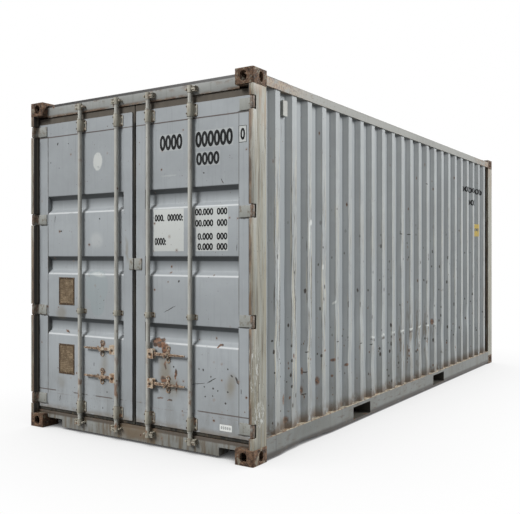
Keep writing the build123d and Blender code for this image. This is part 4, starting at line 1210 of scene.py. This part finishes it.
def push(piece, centre, reach, move, spread):
    """Moves the points within reach of centre, with their neighbours following within spread."""
    take(piece)
    edit("DESELECT")
    leave()
    for point in piece.data.vertices:
        point.select = (point.co - Vector(centre)).length < reach
    bpy.ops.object.mode_set(mode="EDIT")
    bpy.ops.mesh.select_mode(type="VERT")
    bpy.ops.transform.translate(
        value=move, use_proportional_edit=True, proportional_edit_falloff="SMOOTH", proportional_size=spread)
    leave()


# %% [markdown]
# ## The dented wall
# The crests are cut across at even heights, so that a push has points to move. The dents are shallow, at most
# 12 mm, and lie low down, where forks and other containers reach.
# %% Dent the wall
dented_wall = welded_copy("right_side_wall")
before = len(dented_wall.data.vertices)
LOWEST_CUT, CUT_PITCH, CUTS = 0.22, 0.062, 30
cut_across(dented_wall, 2, [LOWEST_CUT + CUT_PITCH * step for step in range(CUTS)])
cut_across(dented_wall, 1, [FIRST_RIDGE + RIDGE_PITCH * half / 2 for half in range(2 * RIDGES - 3)])
print("wall points before and after the cuts:", before, len(dented_wall.data.vertices))
DENTS = (
    (-0.384, 0.62, 0.010), (-0.035, 0.60, 0.012), (0.207, 0.66, 0.010), (0.465, 0.50, 0.012),
    (0.721, 0.90, 0.007), (-2.684, 0.85, 0.006), (-2.440, 1.30, 0.007), (-2.196, 0.72, 0.008),
    (-1.952, 1.36, 0.007), (-1.708, 1.10, 0.006), (-1.464, 0.55, 0.007), (-1.220, 0.95, 0.006),
    (-0.976, 0.48, 0.008), (-0.732, 0.80, 0.006), (-2.440, 0.36, 0.006), (0.976, 0.60, 0.008),
    (1.464, 0.45, 0.008), (1.952, 0.75, 0.007), (-0.244, 1.55, 0.006), (1.220, 1.40, 0.006),
)
for y, z, depth in DENTS:
    push(dented_wall, (ridge_x, y, z), reach=0.045, move=(-depth, 0.0, 0.0), spread=0.17)
dented_wall.name = "dented_right_wall"
finish_piece(dented_wall, "container", "right_side_wall", smooth=20)
print("dents in the wall:", len(DENTS))

# %% [markdown]
# ## The bent rail
# A few blows near the door end have rolled the rail's lower edge in and up. The pushes overlap, so the edge
# waves instead of showing single dimples.
# %% Bend the bottom rail
rail_low, rail_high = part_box("right_bottom_side_rail")
BENDS = ((-2.48, 0.012, 0.012), (-2.33, 0.020, 0.018), (-2.18, 0.016, 0.014), (-2.00, 0.008, 0.007))
bent_rail = welded_copy("right_bottom_side_rail")
FIRST_RAIL_CUT, RAIL_CUT_PITCH, RAIL_CUTS, RAIL_LEVELS = -2.80, 0.07, 15, (0.05, 0.09, 0.13)
cut_across(bent_rail, 1, [FIRST_RAIL_CUT + RAIL_CUT_PITCH * step for step in range(RAIL_CUTS)])
cut_across(bent_rail, 2, RAIL_LEVELS)
for y, inward, up in BENDS:
    push(bent_rail, (rail_high.x, y, rail_low.z), reach=0.05, move=(-inward, 0.0, up), spread=0.13)
bent_rail.name = "bent_right_rail"
finish_piece(bent_rail, "container", "right_bottom_side_rail", smooth=20)
print("bends in the rail:", len(BENDS))


# %% [markdown]
# ## Pressed folds of the door panels
# The bands of a door panel are pressed into sheet steel, so their folds are round. The fold edges are
# picked out by the angle between their faces, and only those are bevelled.
# %% Round the folds
def round_folds(node, width, low, high):
    """A welded copy of the node whose folds between the two angles, in degrees, get a radius."""
    panel = welded_copy(node)
    bpy.ops.object.mode_set(mode="EDIT")
    bpy.ops.mesh.select_mode(type="EDGE")
    bpy.ops.mesh.select_all(action="DESELECT")
    leave()
    normals = {}
    for face in panel.data.polygons:
        for key in face.edge_keys:
            normals.setdefault(key, []).append(face.normal.copy())
    count = 0
    for edge in panel.data.edges:
        sides = normals[edge.key]
        edge.select = len(sides) == 2 and low < math.degrees(sides[0].angle(sides[1])) < high
        count += edge.select
    bpy.ops.object.mode_set(mode="EDIT")
    bpy.ops.mesh.bevel(offset=width, segments=3, affect="EDGES")
    leave()
    print(node, "folds rounded:", count)
    finish_piece(panel, body_of_node[node], node, smooth=40)


for side in ("right", "left"):
    round_folds(f"{side}_door_panel", width=0.009, low=15, high=75)


# %% [markdown]
# ## Studio floor
# The floor shows the camera a white emission with a painted shadow that follows ambient occlusion, so it only
# darkens where the container shuts it in, and reflections show the same white. All other rays meet a dark dull
# floor, so it throws little light back up at the steel.
# %% Floor
def looked_at(wiring):
    """1 for the camera's rays and for reflected and refracted ones, and 0 for the rest."""
    path = wiring.node("LightPath").node.outputs
    return wiring.most(path["Is Camera Ray"], path["Is Glossy Ray"], path["Is Transmission Ray"])


bpy.ops.mesh.primitive_plane_add(size=120.0, location=(0.0, 0.0, 0.0))
studio_floor = bpy.context.object
studio_floor.name = "studio_floor"
floor_finish = Finish("studio_floor")
SHADE_REACH, SHADE_STOPS = 1.8, {0.25: 0.30, 0.42: 0.74, 0.55: 0.88, 0.75: 0.95}
# Painted shadow on the floor: ambient occlusion sets the emission's brightness.
shut_in = floor_finish.node("AmbientOcclusion", 1, {"Distance": SHADE_REACH}, samples=16)
shading = floor_finish.node("ValToRGB", plugs={0: shut_in})
stops = shading.node.color_ramp.elements
stops[0].color = (0.02, 0.02, 0.02, 1.0)
for position, level in SHADE_STOPS.items():
    stops.new(position).color = (level, level, level, 1.0)
seen = floor_finish.node("Emission", plugs={"Color": shading})
dull = floor_finish.node("BsdfDiffuse", plugs={"Color": (0.12, 0.12, 0.12, 1.0)})
mixed = floor_finish.node("MixShader", plugs={0: looked_at(floor_finish), 1: dull, 2: seen})
floor_finish.tree.nodes.remove(floor_finish.tree.nodes["Principled BSDF"])
floor_finish.wire(mixed, floor_finish.tree.nodes["Material Output"].inputs["Surface"])
studio_floor.data.materials.append(floor_finish.material)
print("floor shading stops:", len(stops))


# %% [markdown]
# ## Lamps and world
# Four wide, soft suns stand for an even, overcast sky with its brightest part to the right of the doors.
# The world itself is dim where it lights the steel and white where it is seen.
# %% Lamps and world
def sun(name, heading, height, strength, softness):
    """A distant soft lamp: heading is degrees from +X towards +Y, height is degrees above the floor."""
    bpy.ops.object.light_add(type="SUN", location=(0.0, 0.0, 10.0))
    lamp = bpy.context.object
    lamp.name = name
    lamp.data.energy = strength
    lamp.data.angle = math.radians(softness)
    turn, rise = math.radians(heading), math.radians(height)
    source = Vector((math.cos(turn) * math.cos(rise), math.sin(turn) * math.cos(rise), math.sin(rise)))
    lamp.rotation_euler = source.to_track_quat("Z", "Y").to_euler()


sun("wall_lamp", 42, 28, 4.0, 30)
sun("door_lamp", -112, 38, 3.1, 26)
sun("roof_lamp", -60, 82, 0.6, 50)
sun("fill_lamp", 150, 25, 1.3, 60)

SKY_LEVEL = 0.20
world = bpy.data.worlds.new("studio")
bpy.context.scene.world = world
world.use_nodes = True
sky = Wiring(world.node_tree)
backdrop = sky.tree.nodes["Background"].inputs
backdrop["Color"].default_value = (1.0, 1.0, 1.0, 1.0)
sky_plugs = {"Value": looked_at(sky), "To Min": SKY_LEVEL, "To Max": 1.0}
sky.wire(sky.node("MapRange", plugs=sky_plugs), backdrop["Strength"])
print("lamps:", len(bpy.data.lights), "sky level", SKY_LEVEL)

# %% [markdown]
# ## Camera
# The camera stands low in front of the near corner. Its focal length and its shift were worked out in
# pixels of a picture 520 wide, so they are turned into Blender's millimetres and shares here.
# %% Camera
PICTURE_WIDTH, FOCAL_PIXELS, SHIFT_PIXELS = 520, 708.2, -25.0
CAMERA_PLACE, CAMERA_HEADING = (4.117, -7.223, 1.518), math.radians(32.07)
bpy.ops.object.camera_add(location=CAMERA_PLACE, rotation=(math.radians(90), 0.0, CAMERA_HEADING))
camera = bpy.context.object
camera.name = "camera"
camera.data.sensor_width = 36.0
camera.data.lens = FOCAL_PIXELS / PICTURE_WIDTH * camera.data.sensor_width
camera.data.shift_x = SHIFT_PIXELS / PICTURE_WIDTH
bpy.context.scene.camera = camera
bpy.context.scene.view_settings.view_transform = "Standard"
print("focal length", round(camera.data.lens, 2), "mm")
